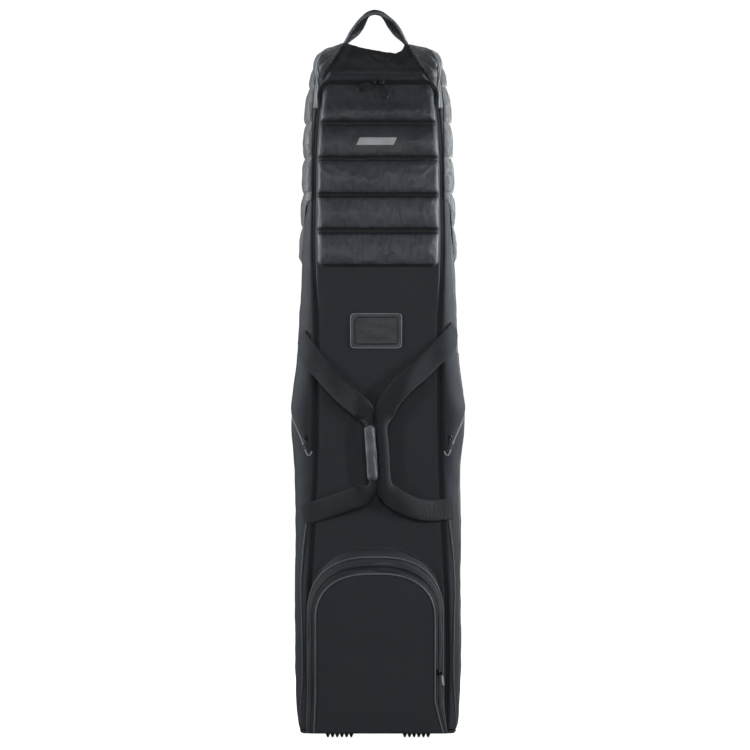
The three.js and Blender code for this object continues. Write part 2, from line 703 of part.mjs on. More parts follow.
// The padded wrap round the left strap's bar.
function handleGrip() {
  const [wide, deep, long] = [18, 13, 98];
  const lean = Math.atan2(LEFT_BAR.foot[0] - LEFT_BAR.top[0], LEFT_BAR.top[1] - LEFT_BAR.foot[1]);
  const outline = new THREE.Shape().absellipse(0, 0, wide / 2, deep / 2, 0, 2 * Math.PI, false);
  const bar = new THREE.ExtrudeGeometry(outline, { depth: long, bevelEnabled: false, curveSegments: 8 });
  const slot = block([-7.6, -1.8, -10], [7.6, 1.8, long + 10]);
  const middle = [(LEFT_BAR.top[0] + LEFT_BAR.foot[0]) / 2, (LEFT_BAR.top[1] + LEFT_BAR.foot[1]) / 2];
  const out = FRONT_Y - 1 - STRAP.standOff - STRAP.thick / 2;
  return cut(bar, slot).translate(0, 0, -long / 2).rotateY(-lean).translate(middle[0], out, middle[1]);
}
add("handle_grip", handleGrip(), GRIP_FABRIC);

// The webbing loop on the ridge of the hood, widest at its crown and gathered at its two ends.
function topHandle() {
  const path = new THREE.SplineCurve([
    [-57, 1271], [-44, 1294], [-22, 1313], [0, 1320], [22, 1314], [42, 1294], [54, 1271],
  ].map(([x, z]) => new THREE.Vector2(x, z)));
  return ribbon(path, [24, 1], () => 8.5, (point, layer) => {
    const half = THREE.MathUtils.lerp(3, 13, THREE.MathUtils.smoothstep(point.y, 1274, 1305));
    return new THREE.Vector3(point.x, (0.5 - layer) * 2 * half, Math.max(point.y, 1271));
  });
}
add("top_handle", topHandle(), WEBBING);

// ---- inner cinch strap, along the back wall ----

const CINCH = { z: 600, half: 12.5, back: BACK_Y - WALL - 0.6, thick: 1.6, reach: 104 };

const cinchWeb = (from, to) => block(
  [from, CINCH.back - CINCH.thick, CINCH.z - CINCH.half], [to, CINCH.back, CINCH.z + CINCH.half]);
add("cinch_webbing_left", cinchWeb(-CINCH.reach, -17), WEBBING);
add("cinch_webbing_right", cinchWeb(6, CINCH.reach), WEBBING);

// The buckle's socket half and its prong half, each with a groove behind for its webbing.
function buckleHalf(from, to, grooveFrom, grooveTo) {
  const [half, deep] = [16, 9];
  const body = block([from, CINCH.back - deep, CINCH.z - half], [to, CINCH.back, CINCH.z + half]);
  const groove = block(
    [grooveFrom, CINCH.back - CINCH.thick - 0.5, CINCH.z - CINCH.half - 1],
    [grooveTo, CINCH.back + 1, CINCH.z + CINCH.half + 1]);
  return cut(body, groove);
}
function buckleSocket() {
  const room = block([-14, CINCH.back - 6.4, CINCH.z - 12.5], [3, CINCH.back - 2.6, CINCH.z + 12.5]);
  return cut(buckleHalf(-28, 2, -30, -16), room);
}
function buckleProngs() {
  const plate = block([-13, CINCH.back - 6, CINCH.z - 12], [4, CINCH.back - 3, CINCH.z + 12]);
  return join(buckleHalf(2.5, 30, 0, 32), plate);
}
add("cinch_buckle_socket", buckleSocket(), MOULDED);
add("cinch_buckle_prongs", buckleProngs(), MOULDED);

export default travelCase;
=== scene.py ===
"""The looks of a golf travel case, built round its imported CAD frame. Lengths are in metres.

Sewn pieces are laid out on the unrolled skin of the case: u runs along the skin from the middle of
the front, z is the height, and d is the distance out from the skin. skin() rolls them up.
"""

import json
import math

import bmesh
import bpy
import numpy as np
from mathutils import Matrix, Vector


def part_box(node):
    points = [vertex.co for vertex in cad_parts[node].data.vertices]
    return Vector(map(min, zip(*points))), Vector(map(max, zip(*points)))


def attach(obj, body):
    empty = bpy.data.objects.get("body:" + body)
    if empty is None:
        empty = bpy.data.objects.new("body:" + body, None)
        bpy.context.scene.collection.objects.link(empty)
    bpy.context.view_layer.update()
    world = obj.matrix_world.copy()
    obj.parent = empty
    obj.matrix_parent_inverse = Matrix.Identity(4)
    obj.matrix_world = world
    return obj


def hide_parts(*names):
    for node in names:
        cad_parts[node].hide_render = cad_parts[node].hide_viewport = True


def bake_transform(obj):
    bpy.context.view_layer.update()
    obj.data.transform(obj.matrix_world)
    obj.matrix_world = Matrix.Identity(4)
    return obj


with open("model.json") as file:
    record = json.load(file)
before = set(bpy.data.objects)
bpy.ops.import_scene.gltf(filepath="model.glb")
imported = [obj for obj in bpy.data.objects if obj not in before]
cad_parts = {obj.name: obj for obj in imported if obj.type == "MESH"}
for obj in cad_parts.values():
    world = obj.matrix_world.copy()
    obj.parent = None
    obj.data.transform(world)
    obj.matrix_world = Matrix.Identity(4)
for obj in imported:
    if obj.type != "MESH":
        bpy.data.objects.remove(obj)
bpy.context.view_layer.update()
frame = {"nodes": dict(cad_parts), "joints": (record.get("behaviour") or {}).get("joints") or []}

# ---- places taken from the frame ----

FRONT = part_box("lower_front_panel")[0].y
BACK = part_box("back_panel")[1].y
FOLD = (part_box("lower_front_panel")[1].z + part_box("upper_front_panel")[0].z) / 2
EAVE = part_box("left_side_panel")[1].z
ZIP_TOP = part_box("zip_flap_half")[1].z
POCKET_MIDDLE = (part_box("front_pocket_flap")[0].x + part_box("front_pocket_flap")[1].x) / 2
HANDLE_Y = (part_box("top_handle")[0].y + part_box("top_handle")[1].y) / 2
SIDES = ((-1, "left"), (1, "right"))
HOUSING = [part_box(f"{name}_wheel_housing") for _, name in SIDES]

# ---- driving dimensions ----

SKIRT = 0.0085  # the lowest edge of the cloth, just under the base
CORNER = 0.028  # radius of the four upright corners
PILLOW = 0.003  # how far the sides and the back swell between their corners
BULGE = (0.009, 0.576, 0.06)  # how far the sides bulge over the side pockets, where and how widely
BACK_SEAM = 0.012  # how far the side panels reach round onto the back
NOTCH = 0.0805  # the height of a row of the cloth just over the wheels
ARCH_RADIUS = 0.026  # corners of the main zip over the top
ZIP_HALF = 0.0027  # from the middle line of a main zip to the cloth's edge
TAPE_DEPTH = -0.0032  # how deep the main zips lie
HEM = 0.004  # how far a cloth edge takes to turn under
PANEL = 0.004  # thickness of the lined cloth
PAD_CLOTH = 0.0008  # thickness of a quilt's cloth
PIPING = 0.0012  # radius of the piping
WEBBING = 0.038  # width of the carry webbing

# Half the width of the case and of the front between its zips, at each height.
HALF_WIDTH = [
    (0.0085, 0.1395), (0.012, 0.1425), (0.02, 0.1455), (0.035, 0.1475), (0.08, 0.15), (0.25, 0.1515),
    (0.45, 0.151), (0.55, 0.1505), (0.65, 0.148), (0.72, 0.1455), (0.8, 0.1415), (0.88, 0.138),
    (0.96, 0.1345), (1.04, 0.1315), (1.12, 0.129), (1.17, 0.1245), (1.214, 0.118), (1.25, 0.112),
]
ZIP_LINE = [
    (0.012, 0.125), (0.2, 0.126), (0.3, 0.123), (0.38, 0.119), (0.47, 0.115), (0.62, 0.112),
    (0.76, 0.113), (0.888, 0.118), (1.0, 0.1175), (1.07, 0.116), (1.125, 0.112), (1.168, 0.107),
    (1.2, 0.104),
]
# How far the front and the back lean in at each height.
FRONT_LEAN = [(0, 0), (1.08, 0), (1.13, 0.0), (1.16, 0.0006), (1.19, 0.0025), (1.214, 0.009), (1.25, 0.027)]
BACK_LEAN = [(0, 0), (1.12, 0), (1.16, 0.0003), (1.21, 0.005), (1.25, 0.016)]

# ---- curves, the rolled skin and irregular waves ----


def curve(table):
    """A smooth function through rows of (place, value)."""
    places, values = np.array(table, float).T
    slopes = np.gradient(values, places)

    def value(x):
        x = np.clip(x, places[0], places[-1])
        i = np.clip(np.searchsorted(places, x) - 1, 0, len(places) - 2)
        span = places[i + 1] - places[i]
        t = (x - places[i]) / span
        start = (2 * t**3 - 3 * t**2 + 1) * values[i] + (t**3 - 2 * t**2 + t) * span * slopes[i]
        return start + (3 * t**2 - 2 * t**3) * values[i + 1] + (t**3 - t**2) * span * slopes[i + 1]

    return value


half_width, zip_line = curve(HALF_WIDTH), curve(ZIP_LINE)
front_lean, back_lean = curve(FRONT_LEAN), curve(BACK_LEAN)


def step(x, low, high):
    """A smooth step from 0 at low to 1 at high."""
    t = np.clip((x - low) / (high - low), 0, 1)
    return t * t * (3 - 2 * t)


def flat_half(z):
    """Half the width of the flat middle of the front or of the back."""
    return half_width(z) - PILLOW - CORNER


def side_end(z):
    """How far along the skin a side ends."""
    return flat_half(z) + math.pi / 2 * CORNER + BACK - FRONT - PILLOW - 2 * CORNER


def back_reach(z):
    """How far along the skin a side panel reaches."""
    return side_end(z) + math.pi / 2 * CORNER + BACK_SEAM


def ring_end(z):
    """The distance along the skin to the middle of the back."""
    return back_reach(z) - BACK_SEAM + flat_half(z)


def skin(u, z, d=0.0):
    """The points (u, z, d) of the unrolled skin, rolled round the case."""
    u, z, d = np.broadcast_arrays(*(np.asarray(x, float) for x in (u, z, d)))
    front = FRONT + front_lean(z)
    back = BACK - back_lean(z) - PILLOW
    flat = flat_half(z)
    quarter = math.pi / 2 * CORNER
    side = back - front - 2 * CORNER
    past = np.abs(u) - flat
    along_side = np.clip(past - quarter, 0, side)
    along_back = np.clip(past - 2 * quarter - side, 0, None)
    d = d + PILLOW * np.maximum(np.sin(math.pi * along_side / side), 0) ** 0.7
    d = d + PILLOW * np.where(along_back > 0, np.sin(math.pi / 2 * np.clip(along_back / flat, 0, 1)), 0)
    d = d + BULGE[0] * np.exp(-(((z - BULGE[1]) / BULGE[2]) ** 2)) * step(past, 0, quarter) * (
        1 - step(past, quarter + side, 2 * quarter + side)
    )
    turn = np.clip(past, 0, quarter) / CORNER
    turn_back = np.clip(past - quarter - side, 0, quarter) / CORNER
    reach = CORNER + d
    at_back = past > quarter + side
    x = flat + reach * np.sin(turn)
    x = np.where(at_back, flat + reach * np.cos(turn_back) - along_back, x)
    x = np.where(past <= 0, np.abs(u), x)
    y = front + CORNER - reach * np.cos(turn) + along_side
    y = np.where(at_back, back - CORNER + reach * np.sin(turn_back), y)
    y = np.where(past <= 0, front - d, y)
    return np.stack([np.where(u < 0, -x, x), y, z], -1)


def ripple(a, b, size, seed):
    """Smooth irregular waves of about that size, between about -1 and 1."""
    draws = np.random.default_rng(seed)
    total = 0
    for _ in range(7):
        angle, phase = draws.uniform(0, 2 * math.pi, 2)
        rate = 2 * math.pi / size * draws.uniform(0.6, 1.4)
        total = total + np.sin(rate * (a * math.cos(angle) + b * math.sin(angle)) + phase)
    return total / 4


def mesh_of(rows, columns):
    """The row's and the column's value at each point of a grid."""
    return np.meshgrid(rows, columns, indexing="ij")


def unit(vectors):
    return vectors / np.maximum(np.linalg.norm(vectors, axis=-1, keepdims=True), 1e-9)


def length_of(path):
    """How far along a path each of its points lies."""
    return np.concatenate([[0], np.cumsum(np.linalg.norm(np.diff(path, axis=0), axis=1))])


def even(path, count):
    """The same path with a number of even points."""
    length = length_of(path)
    places = np.linspace(0, length[-1], count)
    return np.stack([np.interp(places, length, column) for column in np.transpose(path)], -1)


def resample(path, spacing):
    """The same path with points at an even spacing."""
    return even(path, max(2, int(round(length_of(path)[-1] / spacing)) + 1))


def smooth_path(points, spacing):
    """A smooth path through a few points, resampled."""
    points = np.asarray(points, float)
    length = length_of(points)
    fine = np.linspace(0, length[-1], 40 * len(points))
    return resample(np.stack([curve(np.c_[length, column])(fine) for column in points.T], -1), spacing)


def normals_of(path):
    """Unit normals to the left of a flat path."""
    tangent = unit(np.gradient(path, axis=0))
    return np.c_[-tangent[:, 1], tangent[:, 0]]


def closed(path):
    return np.concatenate([path, path[:1]])


def arch(half, foot, top, radius, middle=0.0, spacing=0.004, wide=None, power=2.0):
    """An inverted U from its left foot over to its right foot. half is a function of height.

    radius is its corners' height, and wide their width where it differs.
    """
    wide = wide or radius
    crown = top - radius
    up = np.linspace(foot, crown, max(2, int((crown - foot) / spacing)))
    turn = np.linspace(0, math.pi / 2, 24)[1:]
    rise, run = np.sin(turn) ** (2 / power), 1 - np.cos(turn) ** (2 / power)
    left = np.concatenate([np.c_[-half(up), up], np.c_[-half(crown) + wide * run, crown + radius * rise]])
    right = left[::-1] * [-1, 1]
    if wide >= half(crown) - 1e-6:
        right = right[1:]
    return resample(np.concatenate([left, right]) + [middle, 0], spacing)


# ---- meshes ----


def placed(name, data):
    """A new object with that data, in the scene."""
    obj = bpy.data.objects.new(name, data)
    bpy.context.scene.collection.objects.link(obj)
    return obj


def piece(name, points, faces, materials, uv=None, smooth=True, slots=None):
    """A mesh object. uv holds a pair for each point, and slots a material number for each face."""
    mesh = bpy.data.meshes.new(name)
    mesh.from_pydata(np.asarray(points, float).reshape(-1, 3).tolist(), [], [list(f) for f in faces])
    for material in materials if isinstance(materials, (list, tuple)) else [materials]:
        mesh.materials.append(material)
    if uv is not None:
        layer = mesh.uv_layers.new(name="cloth")
        corners = np.empty(len(mesh.loops), int)
        mesh.loops.foreach_get("vertex_index", corners)
        layer.data.foreach_set("uv", np.asarray(uv, float).reshape(-1, 2)[corners].ravel())
    if slots is not None:
        mesh.polygons.foreach_set("material_index", slots)
    mesh.polygons.foreach_set("use_smooth", [smooth] * len(mesh.polygons))
    mesh.update()
    return placed(name, mesh)


def grid_faces(rows, cols, wrap=False):
    wide = cols if wrap else cols - 1
    i, j = mesh_of(np.arange(rows - 1), np.arange(wide))
    k = (j + 1) % cols
    return np.stack([i * cols + j, i * cols + k, (i + 1) * cols + k, (i + 1) * cols + j], -1).reshape(-1, 4)


def capped(rows, cols):
    """The faces of a tube of rings with both its ends closed."""
    ring = list(range(cols))
    last = [(rows - 1) * cols + i for i in ring]
    return [list(f) for f in grid_faces(rows, cols, True)] + [ring[::-1], last]


def grid(name, points, uv, materials):
    """A sheet of rows and columns of points."""
    return piece(name, points, grid_faces(*points.shape[:2]), materials, uv)


def settle(obj):
    """Applies the modifiers of obj to its mesh."""
    graph = bpy.context.evaluated_depsgraph_get()
    mesh = bpy.data.meshes.new_from_object(obj.evaluated_get(graph))
    obj.modifiers.clear()
    obj.data = mesh
    return obj


def modify(obj, kind, **settings):
    """Gives obj a modifier."""
    modifier = obj.modifiers.new(kind.lower(), kind)
    for key, value in settings.items():
        setattr(modifier, key, value)


def thicken(obj, thickness, inner=0):
    """Gives a sheet a thickness inwards. inner is how many slots on the lining's material is."""
    modify(obj, "SOLIDIFY", thickness=thickness, offset=-1, material_offset=inner, material_offset_rim=0)
    return settle(obj)


def subdivide(obj):
    modify(obj, "SUBSURF", levels=1, render_levels=1)
    return settle(obj)


def weld(obj, distance):
    modify(obj, "WELD", merge_threshold=distance)
    return settle(obj)


def sheet_on_skin(name, us, count, zs, depth, materials):
    """A sheet on the skin. us is a function of height and share, and depth of u and z."""
    z, share = mesh_of(zs, np.linspace(0, 1, count))
    u = us(z, share)
    return grid(name, skin(u, z, depth(u, z)), np.stack([u, z], -1), materials)


def tube(name, path, radius, material, sides=8):
    """A round cord along a path in space, with closed ends."""
    path = np.asarray(path, float)
    tangent = unit(np.gradient(path, axis=0))
    across = np.zeros_like(path)
    guide = np.array([0.0, 0.0, 1.0]) if abs(tangent[0][2]) < 0.8 else np.array([1.0, 0.0, 0.0])
    for i, direction in enumerate(tangent):
        guide = unit(guide - direction * guide.dot(direction))
        across[i] = guide
    other = np.cross(tangent, across)
    angle = np.linspace(0, 2 * math.pi, sides, endpoint=False)[None, :, None]
    points = path[:, None] + (across[:, None] * np.cos(angle) + other[:, None] * np.sin(angle)) * radius
    around, along = np.meshgrid(np.linspace(0, 2 * math.pi * radius, sides), length_of(path))
    return piece(name, points, capped(len(path), sides), material, np.stack([around, along], -1))


def two_faced(name, front, behind, across, along, material, flip=False):
    """A closed strip between two layers of points. across and along are its cloth's own measures."""
    ring = np.concatenate([front, behind[:, ::-1]], 1)
    faces = capped(*ring.shape[:2])
    if flip:
        faces = [face[::-1] for face in faces]
    wide, run = np.meshgrid(np.concatenate([across, across[::-1]]), along)
    return piece(name, ring, faces, material, np.stack([wide, run], -1))


def band(name, path, offsets, depth, material):
    """A strip on the skin beside a flat path, through its offsets."""
    normal, along = normals_of(path), length_of(path)
    points = np.stack([skin(*(path + normal * offset).T, depth) for offset in offsets], 1)
    uv = np.stack([np.c_[np.full(len(path), offset), along] for offset in offsets], 1)
    return piece(name, points, grid_faces(*points.shape[:2])[:, ::-1], material, uv)


BLOCK_FACES = [(0, 1, 3, 2), (4, 6, 7, 5), (0, 4, 5, 1), (2, 3, 7, 6), (0, 2, 6, 4), (1, 5, 7, 3)]


def blocks(name, starts, ends, side, up, width, height, material):
    """Many small blocks in one mesh, each from a start to an end, such as stitches or teeth."""
    corners = [
        np.asarray(end) + side * (s * width) + up * (h * height)
        for end in (starts, ends)
        for s in (-0.5, 0.5)
        for h in (-0.3, 0.7)
    ]
    faces = np.array(BLOCK_FACES)[None] + 8 * np.arange(len(starts))[:, None, None]
    return piece(name, np.stack(corners, 1), faces.reshape(-1, 4), material, smooth=False)


def outward(u, z):
    """The way out of the skin."""
    return unit(skin(u, z, 0.004) - skin(u, z, 0.0))


def settle_on(obj, body, slot, *nodes):
    """Says what a finished piece rides on and the nodes it stands for. Its finish, slot, is not used."""
    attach(obj, body)
    if nodes:
        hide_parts(*nodes)
    return obj


STITCH = (0.66, 0.0008, 0.0006)  # a stitch's length as a share of its pitch, its width and height
TOOTH = (0.0026, 0.00143, 0.0014)  # pitch, width and height of a zip's teeth


def stitches(name, path, depth, body, slot, pitch=0.005):
    """A row of stitches on the skin along a flat path."""
    share, width, height = STITCH
    path = resample(path, pitch)
    ahead = np.gradient(path, axis=0) * share
    start, end = (skin(*(path + ahead * way).T, depth) for way in (-0.5, 0.5))
    up = outward(*path.T)
    side = unit(np.cross(end - start, up))
    return settle_on(blocks(name, start, end, side, up, width, height, THREAD), body, slot)


def zip_teeth(name, path, reach, depth, first):
    """One side's teeth of a zip on the skin, from offset reach[0] to reach[1] of a flat path."""
    pitch, width, height = TOOTH
    path = resample(path, pitch / 2)[first::2]
    normal = normals_of(path)
    start, end = (skin(*(path + normal * offset).T, depth) for offset in reach)
    up = outward(*path.T)
    side = unit(np.cross(end - start, up))
    return blocks(name, start, end, side, up, width, height, TEETH)


def lathe(name, profile, centre, material, segments=64, side=1):
    """A closed profile of (radius, x) turned about an axle along X."""
    radius, along = np.asarray(profile, float).T
    angle = np.linspace(0, 2 * math.pi, segments, endpoint=False)[:, None]
    points = np.stack([along * side + 0 * angle, radius * np.cos(angle), radius * np.sin(angle)], -1)
    count = len(radius)
    i, j = mesh_of(np.arange(segments), np.arange(count))
    n, k = (i + 1) % segments, (j + 1) % count
    faces = np.stack([i * count + j, n * count + j, n * count + k, i * count + k], -1).reshape(-1, 4)
    return piece(name, points + np.asarray(centre), faces[:, ::side], material)


def softened(node, material, width=0.0008, segments=2, name=None):
    """A piece with the shape of a CAD node and rounded edges, which replaces it."""
    obj = placed(name or node + "_made", frame["nodes"][node].data.copy())
    obj.data.materials.clear()
    obj.data.materials.append(material)
    modify(obj, "WELD", merge_threshold=1e-5)
    edges = {"limit_method": "ANGLE", "angle_limit": math.radians(28), "harden_normals": True}
    modify(obj, "BEVEL", width=width, segments=segments, **edges)
    settle(obj)
    obj.data.polygons.foreach_set("use_smooth", [True] * len(obj.data.polygons))
    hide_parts(node)
    return obj


def joined(name, parts):
    """Several mesh pieces made into one."""
    with bpy.context.temp_override(active_object=parts[0], selected_editable_objects=parts):
        bpy.ops.object.join()
    parts[0].name = parts[0].data.name = name
    return parts[0]


# ---- materials ----


class Nodes:
    """A short way to write a material's nodes."""

    def __init__(self, name):
        self.material = bpy.data.materials.new(name)
        self.material.use_nodes = True
        self.tree = self.material.node_tree
        self.shader = self.tree.nodes["Principled BSDF"]

    def put(self, socket, value):
        """Links a socket to another, or sets its value."""
        if isinstance(value, bpy.types.NodeSocket):
            self.tree.links.new(value, socket)
        else:
            socket.default_value = value

    def add(self, kind, inputs=None, **settings):
        node = self.tree.nodes.new(kind)
        for key, value in settings.items():
            setattr(node, key, value)
        for key, value in (inputs or {}).items():
            self.put(node.inputs[key], value)
        return node

    def solid(self):
        """The object's own coordinates."""
        return self.add("ShaderNodeTexCoord").outputs["Object"]

    def cloth(self):
        """The cloth map, and its way across and its way along."""
        cloth = self.add("ShaderNodeUVMap", uv_map="cloth").outputs[0]
        split = self.add("ShaderNodeSeparateXYZ", {0: cloth})
        return cloth, split.outputs[0], split.outputs[1]

    def math(self, operation, a, b=0.0):
        return self.add("ShaderNodeMath", {0: a, 1: b}, operation=operation).outputs[0]

    def mix(self, share, a, b):
        node = self.add("ShaderNodeMix", {"Factor": share}, data_type="RGBA")
        self.put(node.inputs[6], a)
        self.put(node.inputs[7], b)
        return node.outputs[2]

    def noise(self, where, size, detail=3.0, roughness=0.5):
        inputs = {"Vector": where, "Scale": 1 / size, "Detail": detail, "Roughness": roughness}
        return self.add("ShaderNodeTexNoise", inputs).outputs["Fac"]

    def range(self, value, low, high, to_low=0.0, to_high=1.0):
        inputs = {"Value": value, 1: low, 2: high, 3: to_low, 4: to_high}
        return self.add("ShaderNodeMapRange", inputs).outputs[0]

    def spread(self, value, reach, middle=0.0):
        """Noise stretched to reach on either side of a middle value."""
        return self.range(value, 0.3, 0.7, middle - reach, middle + reach)

    def wave(self, value, pitch):
        """A sine of that pitch, from 0 to 1."""
        turned = self.math("MULTIPLY", value, 2 * math.pi / pitch)
        return self.range(self.math("SINE", turned), -1, 1)

    def toned(self, tone, colour):
        """A colour made darker or lighter by a tone on either side of 0."""
        return self.mix(self.range(tone, -0.6, 0.6), shade(colour, 0.6), shade(colour, 1.4))

    def finish(self, colour, roughness, height=None, bump=0.001, strength=1.0, **uniform):
        self.put(self.shader.inputs["Base Color"], colour)
        self.put(self.shader.inputs["Roughness"], roughness)
        if height is not None:
            node = self.add("ShaderNodeBump", {"Strength": strength, "Distance": bump, "Height": height})
            self.put(self.shader.inputs["Normal"], node.outputs[0])
        for key, value in uniform.items():
            self.shader.inputs[key.replace("_", " ")].default_value = value
        return self.material


def shade(colour, factor):
    return tuple(min(1.0, c * factor) for c in colour) + (1.0,)


def woven(name, colour, pitch=0.0007, roughness=0.75, sheen=0.25, ripstop=0.0, slub=0.2, coat=0.0):
    """Plain-woven cloth, laid out by its cloth map: warp and weft, uneven yarns and faint mottling."""
    n = Nodes(name)
    cloth, u, v = n.cloth()
    crossed = n.math("MULTIPLY", n.wave(u, pitch), n.wave(v, pitch))
    mottled = n.noise(n.solid(), 0.03, 4.0)
    stretch = n.add("ShaderNodeMapping", {"Vector": cloth, "Scale": (1, 14, 1)}).outputs[0]
    yarns = n.noise(stretch, 0.0035, 2.0)
    height = n.math("ADD", crossed, n.math("MULTIPLY", yarns, 0.6))
    if ripstop:
        lines = [n.range(n.wave(axis, 0.005), 0.9, 1.0) for axis in (u, v)]
        height = n.math("ADD", height, n.math("MULTIPLY", n.math("MAXIMUM", *lines), ripstop))
    tone = n.math("ADD", n.spread(mottled, slub), n.range(crossed, 0, 1, -0.25, 0.25))
    tone = n.math("ADD", tone, n.spread(yarns, slub))
    glossy = {"Sheen_Weight": sheen, "Sheen_Roughness": 0.45, "Coat_Weight": coat, "Coat_Roughness": 0.35}
    rough = n.spread(mottled, 0.06, roughness)
    return n.finish(n.toned(tone, colour), rough, height, 0.00025, 0.6, **glossy)


def webbing_material(name, colour, roughness=0.6):
    """Webbing: ribs across, with a finer twill in them."""
    n = Nodes(name)
    _, u, v = n.cloth()
    ribs, twill = n.wave(v, 0.0024), n.wave(n.math("ADD", u, v), 0.0013)
    height = n.math("ADD", ribs, n.math("MULTIPLY", twill, 0.4))
    mottled = n.spread(n.noise(n.solid(), 0.02, 4.0), 0.2)
    tone = n.math("ADD", n.range(ribs, 0, 1, -0.35, 0.35), mottled)
    glossy = {"Sheen_Weight": 0.06, "Sheen_Roughness": 0.4}
    return n.finish(n.toned(tone, colour), roughness, height, 0.0004, 0.8, **glossy)


def moulded(name, colour, roughness=0.45, grain=0.0006, metallic=0.0, wear=0.3):
    """Moulded plastic or metal: fine grain, uneven gloss and faint scuffs."""
    n = Nodes(name)
    solid = n.solid()
    fine, broad = n.noise(solid, grain, 2.0), n.noise(solid, 0.02, 5.0, 0.6)
    long_way = n.add("ShaderNodeMapping", {"Vector": solid, "Scale": (1, 1, 0.1)}).outputs[0]
    scuffs = n.range(n.noise(long_way, 0.002, 3.0, 0.7), 0.62, 0.72)
    tone = n.math("ADD", n.range(broad, 0.3, 0.7, 0.0, 0.6), n.math("MULTIPLY", scuffs, wear))
    rough = n.math("ADD", n.spread(broad, 0.08, roughness), n.math("MULTIPLY", scuffs, 0.15))
    colour = n.mix(tone, shade(colour, 0.85), shade(colour, 1.3))
    return n.finish(colour, rough, fine, 0.00012, 0.5, Metallic=metallic)


def vinyl_material(name, dark, light):
    """Clear vinyl over a dark card pocket: glossy, faintly rippled."""
    n = Nodes(name)
    solid = n.solid()
    waves, fine = n.noise(solid, 0.022, 1.0), n.noise(solid, 0.004, 2.0)
    height = n.math("ADD", waves, n.math("MULTIPLY", fine, 0.06))
    colour, rough = n.mix(n.range(waves, 0.3, 0.7), dark, light), n.range(fine, 0.3, 0.7, 0.5, 0.62)
    return n.finish(colour, rough, height, 0.0015, 0.6, Coat_Weight=0.04, Coat_Roughness=0.3)


SHELL = woven("shell_cloth", (0.0175, 0.0217, 0.0290), 0.0007, 0.72, 0.1)
HOOD = woven("hood_weave", (0.0205, 0.0255, 0.034), 0.0007, 0.72, 0.1)
# Lit and shaded copies of one quilt cloth. The darker one on the front pad's two upper channels is painted
# shade, for channels that lean back from the light. The lighter one on its lower channels is painted light.
SHADED_QUILT = woven("shaded_quilt_cloth", (0.028, 0.0335, 0.0425), 0.0005, 0.46, 0.2, ripstop=0.5, coat=0.12)
QUILT = woven("quilt_cloth", (0.041, 0.0485, 0.061), 0.0005, 0.46, 0.2, ripstop=0.5, coat=0.12)
SIDE_QUILT = woven("side_quilt_cloth", (0.062, 0.069, 0.076), 0.0005, 0.5, 0.5, ripstop=0.5, coat=0.1)
# The front pocket's zip tape. It is partly the tape's own dark colour and partly painted shade, made darker
# to tone down the pocket's upward-facing top.
POCKET_TAPE_SHADE = woven("pocket_tape_and_shade", (0.0135, 0.0172, 0.0235), 0.0007, 0.75, 0.05)
LINING = woven("lining", (0.0165, 0.0205, 0.0275), 0.0006, 0.7, 0.1)
PIPED = woven("piping_cloth", (0.10, 0.11, 0.125), 0.0009, 0.5, 0.3)
BRIGHT_PIPED = woven("bright_piping_cloth", (0.26, 0.28, 0.30), 0.0009, 0.5, 0.4)
GRIP = woven("grip_cloth", (0.066, 0.074, 0.086), 0.0012, 0.45, 0.4, slub=0.9)
LABEL = woven("label_cloth", (0.5, 0.51, 0.53), 0.0006, 0.6, 0.2)
THREAD = woven("thread", (0.026, 0.032, 0.042), 0.0006, 0.55, 0.2)
TAPE = woven("zip_tape", (0.0095, 0.0115, 0.0145), 0.0005, 0.85, 0.0)
STRAP = webbing_material("strap_webbing", (0.0098, 0.013, 0.018), 0.75)
HANDLE = webbing_material("handle_webbing", (0.034, 0.038, 0.044))
TEETH = woven("zip_coil", (0.0085, 0.011, 0.0155), 0.0012, 0.85, 0.0)
# A dark cloth laid where shade falls: painted shade in the front pad's seam valleys and along its side edges.
SEAM_SHADE = woven("painted_seam_shade", (0.014, 0.0166, 0.0207), 0.0005, 0.6, 0.05)
PLASTIC = moulded("moulded_plastic", (0.0125, 0.0135, 0.0155), 0.42)
PALE_PLASTIC = moulded("pale_plastic", (0.34, 0.35, 0.37), 0.4)
RUBBER = moulded("urethane", (0.012, 0.012, 0.013), 0.5, wear=0.6)
STEEL = moulded("plated_steel", (0.55, 0.56, 0.58), 0.28, 0.0004, 1.0)
BLACK_METAL = moulded("blackened_metal", (0.022, 0.022, 0.024), 0.35, 0.0004, 0.7)
VINYL = vinyl_material("clear_vinyl", (0.0108, 0.0143, 0.0204, 1), (0.0163, 0.0208, 0.0286, 1))
FRAME_CLOTH = moulded("window_frame_vinyl", (0.021, 0.0255, 0.033), 0.5, 0.0008)


# ---- camera, light and floor ----

VIEW = {"distance": 16.0, "middle": (-0.0055, 0.66), "width": 1.365}
SENSOR = 36.0
LIGHT_COLOUR = (0.955, 0.985, 1.0)
# Each soft light: its place, what it faces, its size, its power and how widely it spreads.
LIGHTS = {
    "front": ((0.12, -2.7, 1.02), (0, 0, 0.9), (1.0, 0.5), 19.5, math.pi),
    "left": ((-2.6, -2.6, 0.85), (0, 0, 0.7), (0.35, 1.2), 20, math.pi),
    "right": ((2.6, -2.6, 0.85), (0, 0, 0.7), (0.35, 1.2), 25, math.pi),
    "left_edge": ((-2.4, 0.1, 1.12), (0, 0, 1.1), (0.4, 0.5), 8.5, 1.1),
    "right_edge": ((2.4, 0.1, 1.12), (0, 0, 1.1), (0.4, 0.5), 12.5, 1.1),
    "back": ((0.8, 3.6, 0.9), (0, 0, 0.7), (1.4, 1.0), 45, math.pi),
}
WORLD_LIGHT = 0.09


